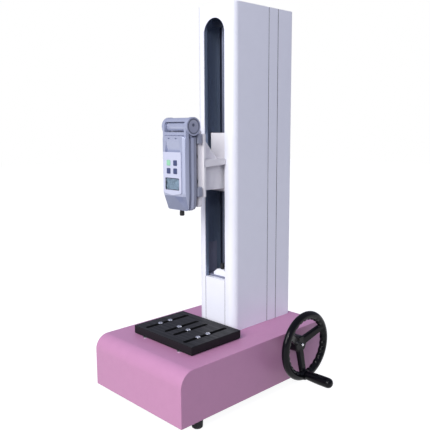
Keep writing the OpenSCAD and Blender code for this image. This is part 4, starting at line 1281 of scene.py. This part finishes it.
@dataclass(frozen=True)
class Studio:
    """Camera, lamps, floor and surroundings, with places and sizes in metres."""

    camera_place: tuple[float, float, float] = (0.8356, -0.7994, 0.5313)
    azimuth: float = 45.976
    pitch: float = 8.603
    roll: float = -0.320
    lens: float = 48.57
    sensor: float = 36.0
    lit_height: float = 0.38
    floor_side: float = 14.0
    floor_z: float = -0.0002
    floor_grey: tuple[float, float, float] = (0.22, 0.22, 0.225)
    floor_glow: float = 0.92
    sky: tuple[float, float, float] = (0.80, 0.83, 1.08)
    sky_power: float = 0.50

    def build(self) -> None:
        """Sets up everything around the object."""
        self.camera()
        self.lamps()
        self.floor()
        self.surroundings()
        bpy.context.scene.view_settings.view_transform = "Standard"

    def camera(self) -> None:
        """The camera, at the photograph's viewing angle."""
        a, p, r = (math.radians(v) for v in (self.azimuth, self.pitch, self.roll))
        ahead = Vector((-math.sin(a) * math.cos(p), math.cos(a) * math.cos(p), -math.sin(p)))
        right = Vector((math.cos(a), math.sin(a), 0))
        up = right.cross(ahead)
        right, up = (right * math.cos(r) + up * math.sin(r),
                     up * math.cos(r) - right * math.sin(r))
        data = bpy.data.cameras.new("camera")
        data.lens = self.lens
        data.sensor_width = self.sensor
        camera = bpy.data.objects.new("camera", data)
        bpy.context.scene.collection.objects.link(camera)
        turn = Matrix((right, up, -ahead)).transposed().to_4x4()
        camera.matrix_world = Matrix.Translation(Vector(self.camera_place)) @ turn
        bpy.context.scene.camera = camera

    def lamps(self) -> None:
        """A large soft lamp before the column, and a small one that gives its edges a glint."""
        for lamp in (FRONT_LAMP, CATCH_LAMP):
            lamp.build(Vector((0, 0, self.lit_height)))

    def _seen_by(self, tree: NodeTree, *rays: str) -> NodeSocket:
        """A value of 1 for two kinds of rays, and of 0 for all others.

        Args:
            tree: the nodes of a material or of the world.
            rays: the two kinds.

        Returns:
            The socket with the value.
        """
        path = tree.nodes.new("ShaderNodeLightPath")
        seen = tree.nodes.new("ShaderNodeMath")
        seen.operation = "MAXIMUM"
        for index, ray in enumerate(rays):
            tree.links.new(path.outputs[f"Is {ray} Ray"], seen.inputs[index])
        return seen.outputs[0]

    def floor(self) -> None:
        """A pale floor that keeps the object's shadow and looks white to the camera."""
        Bench.clear()
        bpy.ops.mesh.primitive_plane_add(size=self.floor_side, location=(0, 0, self.floor_z))
        floor = bpy.context.object
        floor.name = "floor"
        material = bpy.data.materials.new("floor")
        material.use_nodes = True
        tree = material.node_tree
        shader = fill(tree.nodes["Principled BSDF"], {
            "Base Color": (*self.floor_grey, 1), "Roughness": 0.9, "Specular IOR Level": 0.1,
            "Emission Color": (1, 1, 1, 1)})
        level = tree.nodes.new("ShaderNodeMath")
        level.operation = "MULTIPLY"
        level.inputs[1].default_value = self.floor_glow
        tree.links.new(self._seen_by(tree, "Camera", "Glossy"), level.inputs[0])
        tree.links.new(level.outputs[0], shader.inputs["Emission Strength"])
        floor.data.materials.append(material)

    def surroundings(self) -> None:
        """Surroundings that are white to the camera and through glass, and light the rest."""
        world = bpy.data.worlds.new("surroundings")
        bpy.context.scene.world = world
        world.use_nodes = True
        tree = world.node_tree
        tree.nodes.clear()
        out = tree.nodes.new("ShaderNodeOutputWorld")
        mix = tree.nodes.new("ShaderNodeMixShader")
        for index, (color, power) in enumerate(((self.sky, self.sky_power), ((1, 1, 1), 1.0))):
            light = fill(tree.nodes.new("ShaderNodeBackground"), {
                "Color": (*color, 1), "Strength": power})
            tree.links.new(light.outputs[0], mix.inputs[index + 1])
        tree.links.new(self._seen_by(tree, "Camera", "Transmission"), mix.inputs["Fac"])
        tree.links.new(mix.outputs[0], out.inputs["Surface"])


def main() -> None:
    """Builds the studio and all the sub-assemblies in order."""
    logging.basicConfig(level=logging.INFO, format="%(message)s")
    Studio().build()
    for unit in (BaseUnit(), TableUnit(), ColumnUnit(), DriveUnit(), HandwheelUnit(),
                 CarriageUnit(), GaugeUnit()):
        LOG.info("building %s", type(unit).__name__)
        unit.build()


if __name__ == "__main__":
    main()
